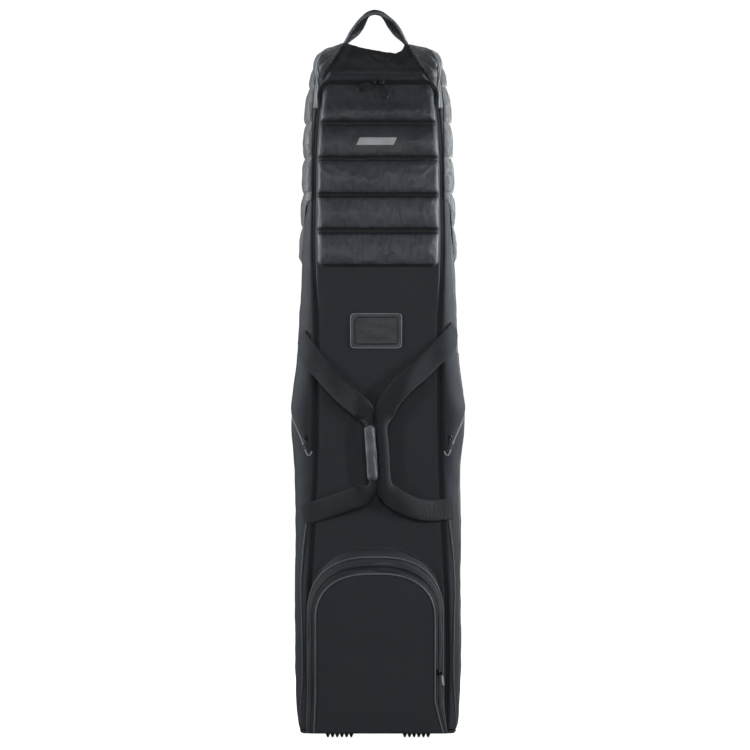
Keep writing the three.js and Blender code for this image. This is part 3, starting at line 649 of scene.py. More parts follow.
def set_stage():
    scene = bpy.context.scene
    camera = scene.camera = placed("camera", bpy.data.cameras.new("camera"))
    camera.data.sensor_width = SENSOR
    camera.data.lens = SENSOR * VIEW["distance"] / VIEW["width"]
    camera.data.clip_end = 100
    camera.location = (VIEW["middle"][0], FRONT - VIEW["distance"], VIEW["middle"][1])
    camera.rotation_euler = (math.pi / 2, 0, 0)
    for name, (place, aim, size, power, spread) in LIGHTS.items():
        light = placed(f"{name}_light", bpy.data.lights.new(f"{name}_light", "AREA"))
        light.data.shape = "RECTANGLE"
        light.data.size, light.data.size_y = size
        light.data.energy, light.data.spread, light.data.color = power, spread, LIGHT_COLOUR
        light.location = place
        light.rotation_euler = (Vector(aim) - Vector(place)).to_track_quat("-Z", "Y").to_euler()
    scene.world = bpy.data.worlds.new("world")
    scene.world.use_nodes = True
    background = scene.world.node_tree.nodes["Background"].inputs
    background["Color"].default_value = (1, 1, 1, 1)
    background["Strength"].default_value = WORLD_LIGHT
    scene.view_settings.view_transform = "Standard"
    backdrop()


def backdrop():
    """A round white floor that rises into a wall behind the camera. It only shows, and lights nothing."""
    white = Nodes("paper")
    tone = white.mix(white.noise(white.solid(), 0.4), (0.93, 0.93, 0.93, 1), (0.97, 0.97, 0.97, 1))
    white.shader.inputs["Emission Color"].default_value = (1, 1, 1, 1)
    white.shader.inputs["Emission Strength"].default_value = 1.0
    reach, bend, tall, around = 24.0, 4.0, 14.0, 72
    rise = np.linspace(0, math.pi / 2, 12)[1:]
    radius = np.concatenate([[0.001, reach - bend], reach - bend + bend * np.sin(rise), [reach]])[:, None]
    height = np.concatenate([[0, 0], bend - bend * np.cos(rise), [tall]])[:, None]
    angle = np.linspace(0, 2 * math.pi, around, endpoint=False)[None]
    rings = np.stack([radius * np.cos(angle), radius * np.sin(angle), height + 0 * angle], -1)
    floor = piece("floor", rings, grid_faces(len(radius), around, True), white.finish(tone, 0.9))
    floor.visible_diffuse = floor.visible_glossy = floor.visible_transmission = floor.visible_shadow = False


set_stage()

# ---- panels ----


def hem(away, drop=0.0028):
    """The depth of a turned edge, at a distance from it."""
    return -drop * (1 - np.clip(away / HEM, 0, 1)) ** 2


def front_half(z):
    """Half the width of the front cloth, which closes in an arch under the zip."""
    radius = ARCH_RADIUS - ZIP_HALF
    into = np.clip((z - (ZIP_TOP - ARCH_RADIUS)) / radius, 0, 1)
    return zip_line(z) - ZIP_HALF - radius * (1 - np.sqrt(1 - into**2))


def front_panel():
    radius = ARCH_RADIUS - ZIP_HALF
    rows = np.linspace(SKIRT, ZIP_TOP - ARCH_RADIUS, 230)
    turn = np.linspace(0, math.pi / 2, 12)[1:]
    zs = np.concatenate([rows, ZIP_TOP - ARCH_RADIUS + radius * np.sin(turn)])

    def us(z, share):
        return front_half(z) * np.sin(math.pi * (share - 0.5))

    def depth(u, z):
        away = np.minimum(front_half(z) - np.abs(u), ZIP_TOP - ZIP_HALF - z)
        pull = 0.0010 * ripple(u, z * 0.6, 0.13, 3) + 0.0005 * ripple(u * 1.4, z, 0.05, 4)
        return pull * step(away, 0, 0.02) + hem(away) - 0.0005

    cloth = sheet_on_skin("front_panel", us, 84, zs, depth, [SHELL, LINING])
    thicken(cloth, PANEL, 1)
    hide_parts("lower_front_panel", "upper_front_panel")
    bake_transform(cloth)


def without(obj, inside):
    """Takes out the faces whose middle is inside."""
    mesh = bmesh.new()
    mesh.from_mesh(obj.data)
    gone = [f for f in mesh.faces if inside(f.calc_center_median())]
    bmesh.ops.delete(mesh, geom=gone, context="FACES")
    mesh.to_mesh(obj.data)
    mesh.free()


def in_housing(point, room=0.0005):
    return any(
        low.x - room < point.x < high.x + room and point.z < high.z + room and point.y > 0.07
        for low, high in HOUSING
    )


def side_panels():
    zs = np.concatenate([np.linspace(SKIRT, NOTCH, 14), np.linspace(NOTCH, EAVE, 190)[1:]])
    for side, name in SIDES:

        def us(z, share, side=side):
            share = share if side > 0 else 1 - share
            start = zip_line(z) + ZIP_HALF
            return side * (start + (back_reach(z) - start) * share)

        def depth(u, z, side=side):
            away = np.minimum(np.abs(u) - zip_line(z) - ZIP_HALF, back_reach(z) - np.abs(u))
            waves = 0.0016 * ripple(u, z * 0.5, 0.14, 8 + side) + 0.0006 * ripple(u, z, 0.05, 10 + side)
            return waves * step(away, 0, 0.03) + hem(away)

        cloth = sheet_on_skin(f"{name}_side_panel_cloth", us, 110, zs, depth, [SHELL, LINING])
        without(cloth, in_housing)
        thicken(cloth, PANEL, 1)
        settle_on(cloth, "case_body", "shell_fabric", f"{name}_side_panel")


def on_back(x, z, d=0.0):
    """A point of the back, x from its middle."""
    return skin(np.where(x < 0, -1, 1) * (ring_end(z) - np.abs(x)), z, d)


def back_panel():
    zs = np.concatenate([np.linspace(SKIRT, NOTCH, 12), np.linspace(NOTCH, EAVE, 120)[1:]])
    z, share = mesh_of(zs, np.linspace(1, -1, 60))
    half = flat_half(z) - BACK_SEAM
    x = share * half
    away = half - np.abs(x)
    waves = 0.0014 * ripple(x, z * 0.5, 0.15, 12) + 0.0005 * ripple(x, z, 0.05, 13)
    points = on_back(x, z, waves * step(away, 0, 0.03) + hem(away))
    cloth = grid("back_panel_cloth", points, np.stack([x, z], -1), [SHELL, LINING])
    without(cloth, in_housing)
    thicken(cloth, PANEL, 1)
    settle_on(cloth, "case_body", "shell_fabric", "back_panel")


def pipe_on_skin(name, path, depth=0.0008, radius=PIPING, cloth=PIPED):
    """A piped seam through a few points (u, z) of the skin."""
    pipe = tube(name, skin(*smooth_path(path, 0.004).T, depth), radius, cloth)
    return settle_on(pipe, "case_body", "shell_fabric")


def u_at(x, z):
    """How far along the skin the front corner reaches x."""
    flat = flat_half(z)
    turn = np.arcsin(np.clip((x - flat) / CORNER, 0, 0.98))
    return np.where(x < flat, x, flat + CORNER * turn)


def panel_piping():
    """The piped seams down the front corners and the back, and the row of stitches beside the zips."""
    corner = [(0.129, 0.4), (0.136, 0.34), (0.1395, 0.28), (0.138, 0.2), (0.1375, 0.1), (0.1405, 0.02)]
    for side, name in SIDES:
        path = [(side * float(u_at(x, z)), z) for x, z in corner]
        pipe_on_skin(f"{name}_corner_piping", path)
        heights = np.linspace(0.09, EAVE - 0.002, 24)
        pipe_on_skin(f"{name}_back_piping", np.c_[side * back_reach(heights), heights], 0.0)
        up = np.linspace(0.35, FOLD - 0.01, 30)
        for place, offset in (("outer", ZIP_HALF + 0.0055), ("inner", -ZIP_HALF - 0.0055)):
            line = np.c_[side * (zip_line(up) + offset), up]
            stitches(f"{name}_{place}_zip_stitches", line, 0.0003, "case_body", "shell_fabric")


# ---- zips ----


def half_zip(name, path, way, width=0.0085, depth=TAPE_DEPTH):
    """One half of a zip on the skin: its tape and its row of teeth, on the side way of a path."""
    cloth = band(f"{name}_tape", resample(path, 0.004), [0.0, way * width / 2, way * width], depth, TAPE)
    if way < 0:
        cloth.data.flip_normals()
    thicken(cloth, PAD_CLOTH)
    reach = (-0.0006 * way, 0.0026 * way)
    return joined(name, [cloth, zip_teeth(f"{name}_teeth", path, reach, depth + 0.0004, int(way < 0))])


def whole_zip(name, path, *sizes):
    """Both halves of a zip in one piece."""
    return joined(name, [half_zip(f"{name}_{way}", path, way, *sizes) for way in (-1, 1)])


def main_zip():
    path = arch(zip_line, FOLD, ZIP_TOP, ARCH_RADIUS)
    flap = half_zip("flap_zip_half", path, -1)
    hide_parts("zip_flap_half")
    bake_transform(flap)
    settle_on(half_zip("hood_zip_half", path, 1), "case_body", "zip_tape", "zip_hood_half")
    for side, name in SIDES:
        heights = np.linspace(SKIRT + 0.014, FOLD, 80)
        line = whole_zip(f"{name}_front_zip", np.c_[side * zip_line(heights), heights])
        settle_on(line, "case_body", "zip_tape", f"{name}_lower_zip")


def plate(name, outlines, thickness, bevel, material, place):
    """A flat plate with rounded edges. The first outline is its edge, and the others are holes."""
    drawn = bpy.data.curves.new(name, "CURVE")
    drawn.dimensions = "2D"
    drawn.fill_mode = "BOTH"
    drawn.extrude = thickness / 2 - bevel
    drawn.bevel_depth, drawn.offset = bevel, -bevel
    drawn.bevel_resolution = 2
    for outline in outlines:
        spline = drawn.splines.new("POLY")
        spline.points.add(len(outline) - 1)
        spline.points.foreach_set("co", np.c_[outline, np.zeros(len(outline)), np.ones(len(outline))].ravel())
        spline.use_cyclic_u = True
    obj = placed(name, drawn)
    mesh = bpy.data.meshes.new_from_object(obj.evaluated_get(bpy.context.evaluated_depsgraph_get()))
    bpy.data.objects.remove(obj)
    mesh.materials.clear()
    mesh.materials.append(material)
    mesh.transform(place)
    return placed(name, mesh)


def rounded(value, power):
    """A sine or cosine raised to a power with its sign kept, for outlines between round and square."""
    return np.sign(value) * np.abs(value) ** power


def oval(half_wide, half_tall, middle=(0, 0), power=2.0, count=40):
    angle = np.linspace(0, 2 * math.pi, count, endpoint=False)
    x, y = half_wide * rounded(np.cos(angle), 2 / power), half_tall * rounded(np.sin(angle), 2 / power)
    return np.c_[x + middle[0], y + middle[1]]


def facing(origin, turn=0.0, lean=0.0, swing=0.0):
    """A frame at origin whose flat side faces the front: turned round Z, leaning out, swung sideways."""
    turns = ((turn, "Z"), (-lean, "X"), (swing, "Y"), (math.pi / 2, "X"))
    place = Matrix.Translation(origin)
    for angle, axis in turns:
        place = place @ Matrix.Rotation(angle, 4, axis)
    return place


def puller(name, place, wide, long, thick=0.0024, material=PLASTIC):
    """A zip's pull: a wire bail and a moulded tab with grip ribs and a hole at its end."""
    tab = oval(wide / 2, long * 0.38, (0, -long * 0.58), 2.6)
    tab[:, 0] *= 0.82 - 0.18 * (tab[:, 1] + long * 0.58) / (long * 0.38)
    hole = oval(wide * 0.16, wide * 0.16, (0, -long * 0.8), count=20)
    parts = [plate(f"{name}_tab", [tab, hole], thick, 0.0007, material, place)]
    for i in range(4):
        rib = oval(wide * 0.3, 0.0007, (0, -long * (0.42 + 0.075 * i)), 3.0, 24)
        parts.append(plate(f"{name}_rib_{i}", [rib], thick + 0.0012, 0.0004, material, place))
    bail = closed(oval(wide * 0.24, long * 0.16, (0, -long * 0.14), 3.0, 28))
    wire = np.array([list(place @ Vector((x, y, 0))) for x, y in bail])
    return joined(name, parts + [tube(f"{name}_bail", wire, 0.0007, BLACK_METAL)])


def slider(name, node, reach=0.0):
    """A slider's body, the foot of its back drawn out by reach to meet its teeth."""
    body = softened(node, BLACK_METAL, 0.0007, 2, name)
    low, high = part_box(node)
    for vertex in body.data.vertices:
        back, down = (vertex.co.y - low.y) / (high.y - low.y), (high.z - vertex.co.z) / (high.z - low.z)
        vertex.co.y += reach * back * down
    return body


def main_sliders():
    swings = {"left": 1.05, "right": -0.12}
    for side, name in SIDES:
        low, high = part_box(f"main_{name}_slider")
        body = slider(f"{name}_main_slider_body", f"main_{name}_slider", 0.0055)
        settle_on(body, f"{name}_main_slider", "steel")
        hinge = Vector(((low.x + high.x) / 2, low.y - 0.0004, (low.z + high.z) / 2))
        made = puller(f"{name}_main_pull_tab", facing(hinge, 0, 0.3, swings[name]), 0.018, 0.036)
        settle_on(made, f"{name}_main_pull", "moulded", f"main_{name}_pull")


# ---- quilted pads ----

QUILT_LOW, QUILT_PITCH, CHANNELS = 0.857, 0.0655, 5
FRONT_SEAMS = [QUILT_LOW + QUILT_PITCH * i for i in range(CHANNELS + 1)]
SIDE_SEAMS = [0.80, 0.866, 0.932, 0.992, 1.056, 1.119, 1.185, 1.222]
SIDE_QUILT_START = 0.011  # the cloth left bare between the zip and a side quilt
SIDE_QUILT_END = 0.006  # the cloth left bare between a side quilt and the back corner
FLAT = 0.0004  # the least a pad stands out
# A pad's cloth while it is inflated.
INFLATED = {
    "quality": 6, "mass": 0.15, "tension_stiffness": 20, "compression_stiffness": 20,
    "bending_stiffness": 0.2, "use_pressure": True, "vertex_group_mass": "pinned",
}


def channel_depth(z, seams, crown, sag, seam_depth=0.0008, valley=0.0095):
    """How far quilted channels stand out. sag, from 0 to 1, lets a channel hang low from its top seam."""
    edges = np.asarray(seams)
    i = np.clip(np.searchsorted(edges, z) - 1, 0, len(edges) - 2)
    low, high = edges[i], edges[i + 1]
    below = np.clip((z - low) / valley, 0, 1)
    reach = valley * 1.3 + sag * (high - low - valley * 2.3)
    above = np.clip((high - z) / reach, 0, 1)
    rise = np.sqrt(1 - (1 - below) ** 2.2) * (1 - (1 - above) ** (2.4 - 0.9 * sag)) ** (0.5 + 0.4 * sag)
    share = np.clip((z - low) / (high - low), 0, 1)
    belly = 0.88 + 0.12 * np.sin(math.pi * share**0.7)
    tall = np.clip((high - low) / QUILT_PITCH, 0.3, 1) ** 0.5
    return seam_depth + (crown * tall * belly - seam_depth) * rise


def puff(obj, pinned, pressure, slack, frames=16, limit=0.006, free=1.0):
    """Inflates a pad as cloth that is held at its pinned points."""
    before = np.array([v.co for v in obj.data.vertices])
    group = obj.vertex_groups.new(name="pinned")
    group.add([int(i) for i in np.flatnonzero(pinned)], 1.0, "REPLACE")
    cloth = obj.modifiers.new("cloth", "CLOTH")
    for key, value in INFLATED.items():
        setattr(cloth.settings, key, value)
    cloth.settings.uniform_pressure_force = pressure
    cloth.settings.shrink_min = -slack
    cloth.settings.effector_weights.gravity = 0.0
    cloth.collision_settings.use_collision = False
    cloth.collision_settings.use_self_collision = False
    scene = bpy.context.scene
    for number in range(1, frames + 1):
        scene.frame_set(number)
    settle(obj)
    scene.frame_set(1)
    after = np.array([v.co for v in obj.data.vertices])
    moved = after - before
    size = np.linalg.norm(moved, axis=1, keepdims=True)
    moved *= np.minimum(1, limit / np.maximum(size, 1e-9))
    moved *= np.reshape(free, (-1, 1))
    obj.data.vertices.foreach_set("co", (before + moved).ravel())
    obj.data.update()
    obj.vertex_groups.clear()
    return obj


def from_seam(z, seams):
    """How far a height is from the nearest seam."""
    return np.min(np.abs(z[..., None] - np.asarray(seams)), -1)


def front_quilt():
    """The pad over the top of the flap: five sewn channels that are held at their seams and edges."""
    margin = 0.0035
    rows = int((FRONT_SEAMS[-1] - FRONT_SEAMS[0]) / 0.0026)
    zs = np.linspace(FRONT_SEAMS[0], FRONT_SEAMS[-1] + 0.003, rows)

    def half(z):
        foot = np.clip((FRONT_SEAMS[0] + 0.012 - z) / 0.012, 0, 1)
        top = np.clip((z - (FRONT_SEAMS[-1] - 0.018)) / 0.019, 0, 1)
        corners = 0.012 * (1 - np.sqrt(1 - foot**2)) + 0.019 * (1 - np.sqrt(np.clip(1 - top**2, 0, 1)))
        return zip_line(z) - ZIP_HALF - margin - corners

    z, share = mesh_of(zs, np.linspace(-1, 1, 76))
    u = half(z) * share
    edge = half(z) - np.abs(u)
    sag = 0.5 * step(z, 1.03, 1.08) + 0.5 * step(z, 1.1, 1.15)
    crown = 0.0145 - 0.003 * step(z, 1.11, 1.18)
    pucker = 0.00045 * np.sin(2 * math.pi * (u / 0.011 + 0.9 * ripple(u, z * 0.4, 0.06, 21)))
    seamward = np.exp(-((from_seam(z, FRONT_SEAMS) - 0.01) / 0.012) ** 2)
    depth = channel_depth(z, FRONT_SEAMS, crown, sag)
    depth = depth * np.sqrt(1 - np.clip(1 - edge / 0.009, 0, 1) ** 2) + FLAT
    waves = 0.0003 * ripple(u * 2.2, z * 0.5, 0.06, 22) + 0.0002 * ripple(u, z, 0.02, 23)
    depth = depth + (pucker * seamward + waves) * step(edge, 0, 0.01)
    depth = np.maximum(depth, FLAT)
    pad = grid("front_quilt", skin(u, z, depth), np.stack([u, z], -1), [QUILT, SEAM_SHADE, SHADED_QUILT])
    # Painted shade: faces in the seam valleys and along the pad's side edges take the dark seam shade cloth.
    shaded_faces = (from_seam(z, FRONT_SEAMS[:-1]) < 0.007) | (edge < 0.005)
    corners = np.array(grid_faces(*z.shape))
    # Painted shade: faces above the third seam take the darker, shaded copy of the quilt cloth, and the rest
    # take the lit copy.
    upper = z.ravel()[corners].mean(1) > FRONT_SEAMS[3]
    for face, dark, high in zip(pad.data.polygons, shaded_faces.ravel()[corners].all(1), upper):
        face.material_index = 1 if dark else 2 * int(high)
    pinned = (from_seam(z, FRONT_SEAMS) < 0.0016) | (edge < 0.002)
    sewn = np.exp(-((u / 0.055) ** 4) - ((z - 1.085) / 0.02) ** 4)
    puff(pad, pinned.ravel(), 3.0, 0.02, free=(1 - 0.9 * step(z, 1.135, 1.16)) * (1 - 0.9 * sewn))
    subdivide(pad)
    thicken(pad, PAD_CLOTH)
    settle_on(pad, "upper_flap", "quilt_fabric", "front_quilt_pad")
    for i, seam in enumerate(FRONT_SEAMS[1:-1]):
        reach = float(half(np.array(seam))) - 0.004
        line = np.c_[np.linspace(-reach, reach, 60), np.full(60, seam)]
        stitches(f"quilt_stitches_{i + 1}", line, 0.0018, "upper_flap", "quilt_fabric", 0.0035)


def side_low(share):
    """The foot of a side quilt, which sweeps down from the front corner towards the back."""
    return 0.99 - 0.124 * step(share, -0.15, 0.72)


def side_quilts():
    rows, columns = 132, 66
    for side, name in SIDES:
        t, share = mesh_of(np.linspace(0, 1, rows), np.linspace(0, 1, columns))
        if side < 0:
            share = 1 - share
        z = side_low(share) + (SIDE_SEAMS[-1] - side_low(share)) * t
        start = np.minimum(zip_line(z), zip_line(1.16)) + ZIP_HALF + SIDE_QUILT_START
        finish = side_end(z) - SIDE_QUILT_END
        u = start + (finish - start) * share
        edge = np.minimum(np.minimum(u - start, finish - u), (z - side_low(share)) * 0.8)
        depth = channel_depth(z, SIDE_SEAMS, 0.0045, 0.25, FLAT, 0.006)
        depth = depth * (1 - np.clip(1 - edge / 0.01, 0, 1) ** 2.2) + 0.0005
        pucker = 0.0004 * np.sin(2 * math.pi * (u / 0.009 + 0.7 * ripple(u, z, 0.05, 25 + side)))
        seamward = np.exp(-((from_seam(z, SIDE_SEAMS) - 0.008) / 0.007) ** 2)
        waves = 0.0007 * ripple(u * 1.3, z, 0.03, 28 + side)
        depth = depth + (pucker * seamward + waves) * step(edge, 0, 0.015)
        depth = np.maximum(depth, FLAT)
        pad = grid(f"{name}_side_quilt", skin(side * u, z, depth), np.stack([u, z], -1), SIDE_QUILT)
        pinned = (from_seam(z, SIDE_SEAMS) < 0.0018) | (edge < 0.002)
        puff(pad, pinned.ravel(), 2.5, 0.03, limit=0.0028)
        subdivide(pad)
        thicken(pad, PAD_CLOTH)
        settle_on(pad, "case_body", "quilt_fabric", f"{name}_quilt_pad")
        across = np.linspace(0.0, 1.0, 40)
        foot = side_low(across) - 0.0006
        start = zip_line(foot) + ZIP_HALF + SIDE_QUILT_START
        line = np.c_[side * (start + (side_end(foot) - SIDE_QUILT_END - start) * across), foot]
        pipe_on_skin(f"{name}_quilt_piping", line, 0.0012)


def label():
    """A plain woven label with slanted ends, sewn to the second channel."""
    half, tall, middle = 0.034, 0.014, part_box("label_patch")
    height = (middle[0].z + middle[1].z) / 2
    pad = bpy.data.objects["front_quilt"]
    rows, columns = 8, 40
    v, s = mesh_of(np.linspace(-0.5, 0.5, rows), np.linspace(-1, 1, columns))
    x = s * half + v * 0.006 - 0.0025
    z = height + v * tall
    points = np.stack([x, np.zeros_like(x), z], -1)
    for i in range(rows):
        for j in range(columns):
            found, hit, _, _ = pad.ray_cast(Vector((x[i, j], -0.3, z[i, j])), Vector((0, 1, 0)))
            points[i, j, 1] = hit.y if found else FRONT - 0.014
    y = points[..., 1]
    kernel = np.ones(9) / 9
    y[:] = np.array([np.convolve(np.pad(row, 4, mode="edge"), kernel, "valid") for row in y])
    points[..., 1] = y - 0.0012
    cloth = grid("woven_label", points, np.stack([x, z], -1), LABEL)
    thicken(cloth, 0.0007)
    settle_on(cloth, "upper_flap", "label", "label_patch")


# ---- hood ----

WALL_TOP = 1.205  # where the hood's walls turn into its roof
RIDGE_Y = HANDLE_Y
RIDGE = [(-0.06, 1.269), (-0.03, 1.2615), (0.007, 1.2525), (0.032, 1.2495), (0.044, 1.257), (0.05, 1.270)]
RIDGE_MIDDLE = -0.005
PIPE_ANGLE = 0.9  # how far round the front corner the hood's piping runs
# The folds pressed into the front of the hood: both ends, depth and width.
HOOD_FOLDS = [
    ((-0.06, 1.266), (-0.1, 1.199), 0.0055, 0.0045),
    ((0.094, 1.199), (0.049, 1.266), 0.0055, 0.0045),
    ((0.08, 1.2), (0.04, 1.262), 0.002, 0.003),
    ((-0.061, 1.264), (-0.113, 1.222), 0.005, 0.0035),
    ((0.051, 1.264), (0.105, 1.218), 0.005, 0.0035),
    ((-0.068, 1.25), (-0.108, 1.2), 0.003, 0.003),
    ((0.06, 1.25), (0.1, 1.2), 0.003, 0.003),
    ((-0.02, 1.252), (0.0, 1.226), 0.0025, 0.003),
    ((0.022, 1.248), (0.003, 1.226), 0.0025, 0.003),
    ((-0.088, 1.204), (0.088, 1.2035), 0.0014, 0.0022),
    ((-0.095, 1.216), (0.09, 1.214), 0.0018, 0.004),
]


def hood_point(u, t):
    """A point of the hood, t from 0 at its foot to 1 at the top of its walls and 2 at its ridge."""
    radius = ARCH_RADIUS + ZIP_HALF
    crown = ZIP_TOP + ZIP_HALF - radius
    half = zip_line(crown) + ZIP_HALF
    beside = np.abs(u) - (half - radius)
    arc = crown + np.sqrt(np.clip(radius**2 - np.clip(beside, 0, radius) ** 2, 0, None))
    foot = np.where(np.abs(u) < half - 1e-4, arc, EAVE)
    z = foot + (WALL_TOP - foot) * np.clip(t, 0, 1)
    wall = skin(u, z, hem(np.where(np.abs(u) < half, z - foot, np.maximum(np.abs(u) - half, 0.0))))
    top = skin(u, np.full_like(z, WALL_TOP))
    ridge_x = RIDGE_MIDDLE + 0.057 * np.clip(top[..., 0] / 0.098, -1, 1)
    back = np.sign(top[..., 1] - RIDGE_Y)
    places, heights = np.array(RIDGE).T
    ridge = np.stack([ridge_x, RIDGE_Y + 0.0015 * back, np.interp(ridge_x, places, heights)], -1)
    corner = step(np.abs(top[..., 0]), 0.07, 0.108)[..., None]
    middle = (top + ridge) / 2 + [0, 0, -0.004]
    shoulder = top + [0, 0, 0.0425]
    bend = middle + (shoulder - middle) * corner
    s = np.clip(t - 1, 0, 1)[..., None]
    roof = (1 - s) ** 3 * top + 3 * s * (1 - s) * bend + s**3 * ridge
    return np.where((t < 1)[..., None], wall, roof)


def creased(points, start, end, depth, width):
    """Presses a fold into the front of the hood, along a line seen from the front."""
    way = np.subtract(end, start)
    length = np.linalg.norm(way)
    way = way / length
    flat = points[..., [0, 2]] - start
    along = flat @ way
    off = flat @ np.array([-way[1], way[0]])
    fade = step(along, -0.01, 0.01) * (1 - step(along, length - 0.012, length + 0.006))
    shape = -np.exp(-((off / width) ** 2)) + 0.8 * np.exp(-(((off - 1.8 * width) / (1.2 * width)) ** 2))
    front = step(RIDGE_Y - points[..., 1], 0.012, 0.035)
    points[..., 1] -= depth * shape * fade * front
    points[..., 2] += 0.5 * depth * shape * fade * front


def hood():
    half = float(zip_line(ZIP_TOP - ARCH_RADIUS)) + ZIP_HALF
    end = float(ring_end(WALL_TOP))
    marks = [0, half - 0.03, half - 0.002, half + 0.0004, half + 0.03, end]
    counts = [26, 22, 6, 10, 70]
    right = [np.linspace(a, b, n, endpoint=False) for a, b, n in zip(marks[:-1], marks[1:], counts)]
    right = np.concatenate(right + [[end]])
    us = np.concatenate([-right[:0:-1], right])
    ts = np.concatenate([np.linspace(0, 1, 16), 1 + np.linspace(0, 1, 34)[1:]])
    t, u = mesh_of(ts, us)
    fit = np.clip(np.abs(u) / end, 0, 1)
    height = EAVE + (WALL_TOP - EAVE) * np.clip(t, 0, 1)
    u_fit = u * (1 + (ring_end(height) / end - 1) * step(fit, 0.5, 1))
    points = hood_point(u_fit, t)
    for fold in HOOD_FOLDS:
        creased(points, *fold)
    waves = 0.0016 * ripple(points[..., 0], points[..., 1] + points[..., 2], 0.07, 41)
    waves = waves + 0.0006 * ripple(points[..., 0] * 1.5, points[..., 2], 0.025, 42)
    points[..., 2] += waves * step(t, 1.0, 1.3)
    points[..., 1] -= waves * step(t, 0.2, 0.6) * (points[..., 1] < 0) * 0.7
    gap = (points[:, -1] - points[:, 0])[:, None] / 2
    points -= np.sign(u)[..., None] * step(fit, 0.85, 1)[..., None] * gap
    faces = grid_faces(*points.shape[:2])
    corner = flat_half(WALL_TOP) + PIPE_ANGLE * CORNER
    centres = points.reshape(-1, 3)[faces].mean(1)
    # Faces past the hood's piping, and faces farther out than the line of its front's pressed folds, take the
    # lighter side-quilt cloth. On the front's wings, between those folds and the piping, the lighter colour
    # is painted light for wings that face up and aside towards the lamps.
    fold = 0.058 + (1.268 - centres[:, 2]) * 0.6
    lit_wings_and_sides = (np.abs(centres[:, 0] - RIDGE_MIDDLE) > fold) | (np.abs(u.ravel()[faces].mean(1)) > corner)
    uv = np.stack([u, t * 0.06], -1)
    made = piece("hood_cloth", points, faces, [HOOD, SIDE_QUILT, LINING], uv, slots=lit_wings_and_sides.astype(int))
    weld(made, 0.0004)
    thicken(made, 0.0035)
    settle_on(made, "case_body", "shell_fabric", "hood")
    for side, name in SIDES:
        steps = np.linspace(0.0, 1.96, 60)
        along = np.full_like(steps, corner)
        along = along - (corner - half - 0.002) * (1 - step(steps, 0.0, 0.7))
        path = hood_point(side * along, steps)
        path[:, 1] -= 0.0022
        path[:, 2] += 0.0014 * step(steps, 1, 1.3) - 0.004 * step(steps, 1.7, 1.96)
        path[:, 0] += side * 0.002 * np.sin(steps * 7.5) * step(steps, 0.2, 0.6) * (1 - step(steps, 1.3, 1.8))
        pipe = tube(f"{name}_hood_piping", resample(path, 0.004), 0.0015, BRIGHT_PIPED)
        settle_on(pipe, "case_body", "shell_fabric")
    line = np.c_[np.linspace(-0.086, 0.086, 60), np.full(60, ZIP_TOP + ZIP_HALF + 0.004)]
    stitches("hood_zip_stitches", line, 0.0008, "case_body", "shell_fabric")


# ---- front pocket ----

# Each level of the pocket's side: distance out, half width, top and height of its corners.
POCKET_LEVELS = [
    (0.0, 0.118, 0.345, 0.116), (0.008, 0.1205, 0.341, 0.113), (0.018, 0.1225, 0.332, 0.107),
    (0.0225, 0.1225, 0.328, 0.104), (0.032, 0.1185, 0.318, 0.097), (0.041, 0.1125, 0.307, 0.09),
    (0.0475, 0.1085, 0.2985, 0.084),
]
POCKET_OUT = POCKET_LEVELS[-1][0]  # how far out its face lies
POCKET_SEAM = 0.0225  # how far out its side is pieced
ZIP_OUT = (0.0325, 0.0435)  # where its zip lies on its side


def pocket_ring(out, grow=0.0, spacing=0.005):
    """The outline of the pocket at a distance out from the skin."""
    outs, *columns = np.array(POCKET_LEVELS).T
    half, top, radius = (float(np.interp(out, outs, column)) for column in columns)

    def wide(z):
        return half + grow + 0 * z

    size = (SKIRT + 0.001, top + grow, radius + grow, POCKET_MIDDLE, spacing, 0.93 * half + grow, 2.35)
    path = arch(wide, *size)
    flare = np.clip((0.068 - path[:, 1]) / 0.059, 0, 1) ** 1.1
    path[:, 0] += flare * np.where(path[:, 0] > 0, 0.015, -0.003) * out / POCKET_OUT
    return path


def pocket_points(path, out):
    return np.stack([path[:, 0], np.full(len(path), FRONT - out), path[:, 1]], -1)


def pocket_side(name, low, high, rows, material, seed):
    """Part of the pocket's side between two distances out."""
    along = np.linspace(0, 1, 170)
    points, uv = [], []
    for out in np.linspace(low, high, rows):
        path = even(pocket_ring(out), len(along))
        uv.append(np.c_[along * 0.9, np.full(len(along), out)])
        waves = 0.0016 * ripple(*uv[-1].T, 0.09, seed) * min(1, min(out - low, high - out) / 0.005)
        points.append(pocket_points(path + normals_of(path) * waves[:, None], out))
    cloth = piece(name, np.stack(points), grid_faces(rows, len(along))[:, ::-1], material, np.stack(uv))
    return thicken(cloth, 0.0025)


def ring_pipe(name, out, grow, radius=PIPING, raise_by=0.0008, cloth=PIPED):
    """Piping round the pocket at a distance out."""
    return tube(name, pocket_points(pocket_ring(out, grow, 0.004), out + raise_by), radius, cloth)


def pocket_teeth(name, out, thick):
    """The teeth of the pocket's zip, which stand on its side."""
    path = pocket_ring(out, 0.0006, 0.0026)
    normal = normals_of(path)
    start, finish = pocket_points(path, out - thick), pocket_points(path, out + thick)
    up = unit(np.stack([normal[:, 0], np.full(len(path), -0.6), normal[:, 1]], -1))
    side = unit(np.cross(finish - start, up))
    return blocks(name, start, finish, side, up, 0.0015, 0.0014, TEETH)


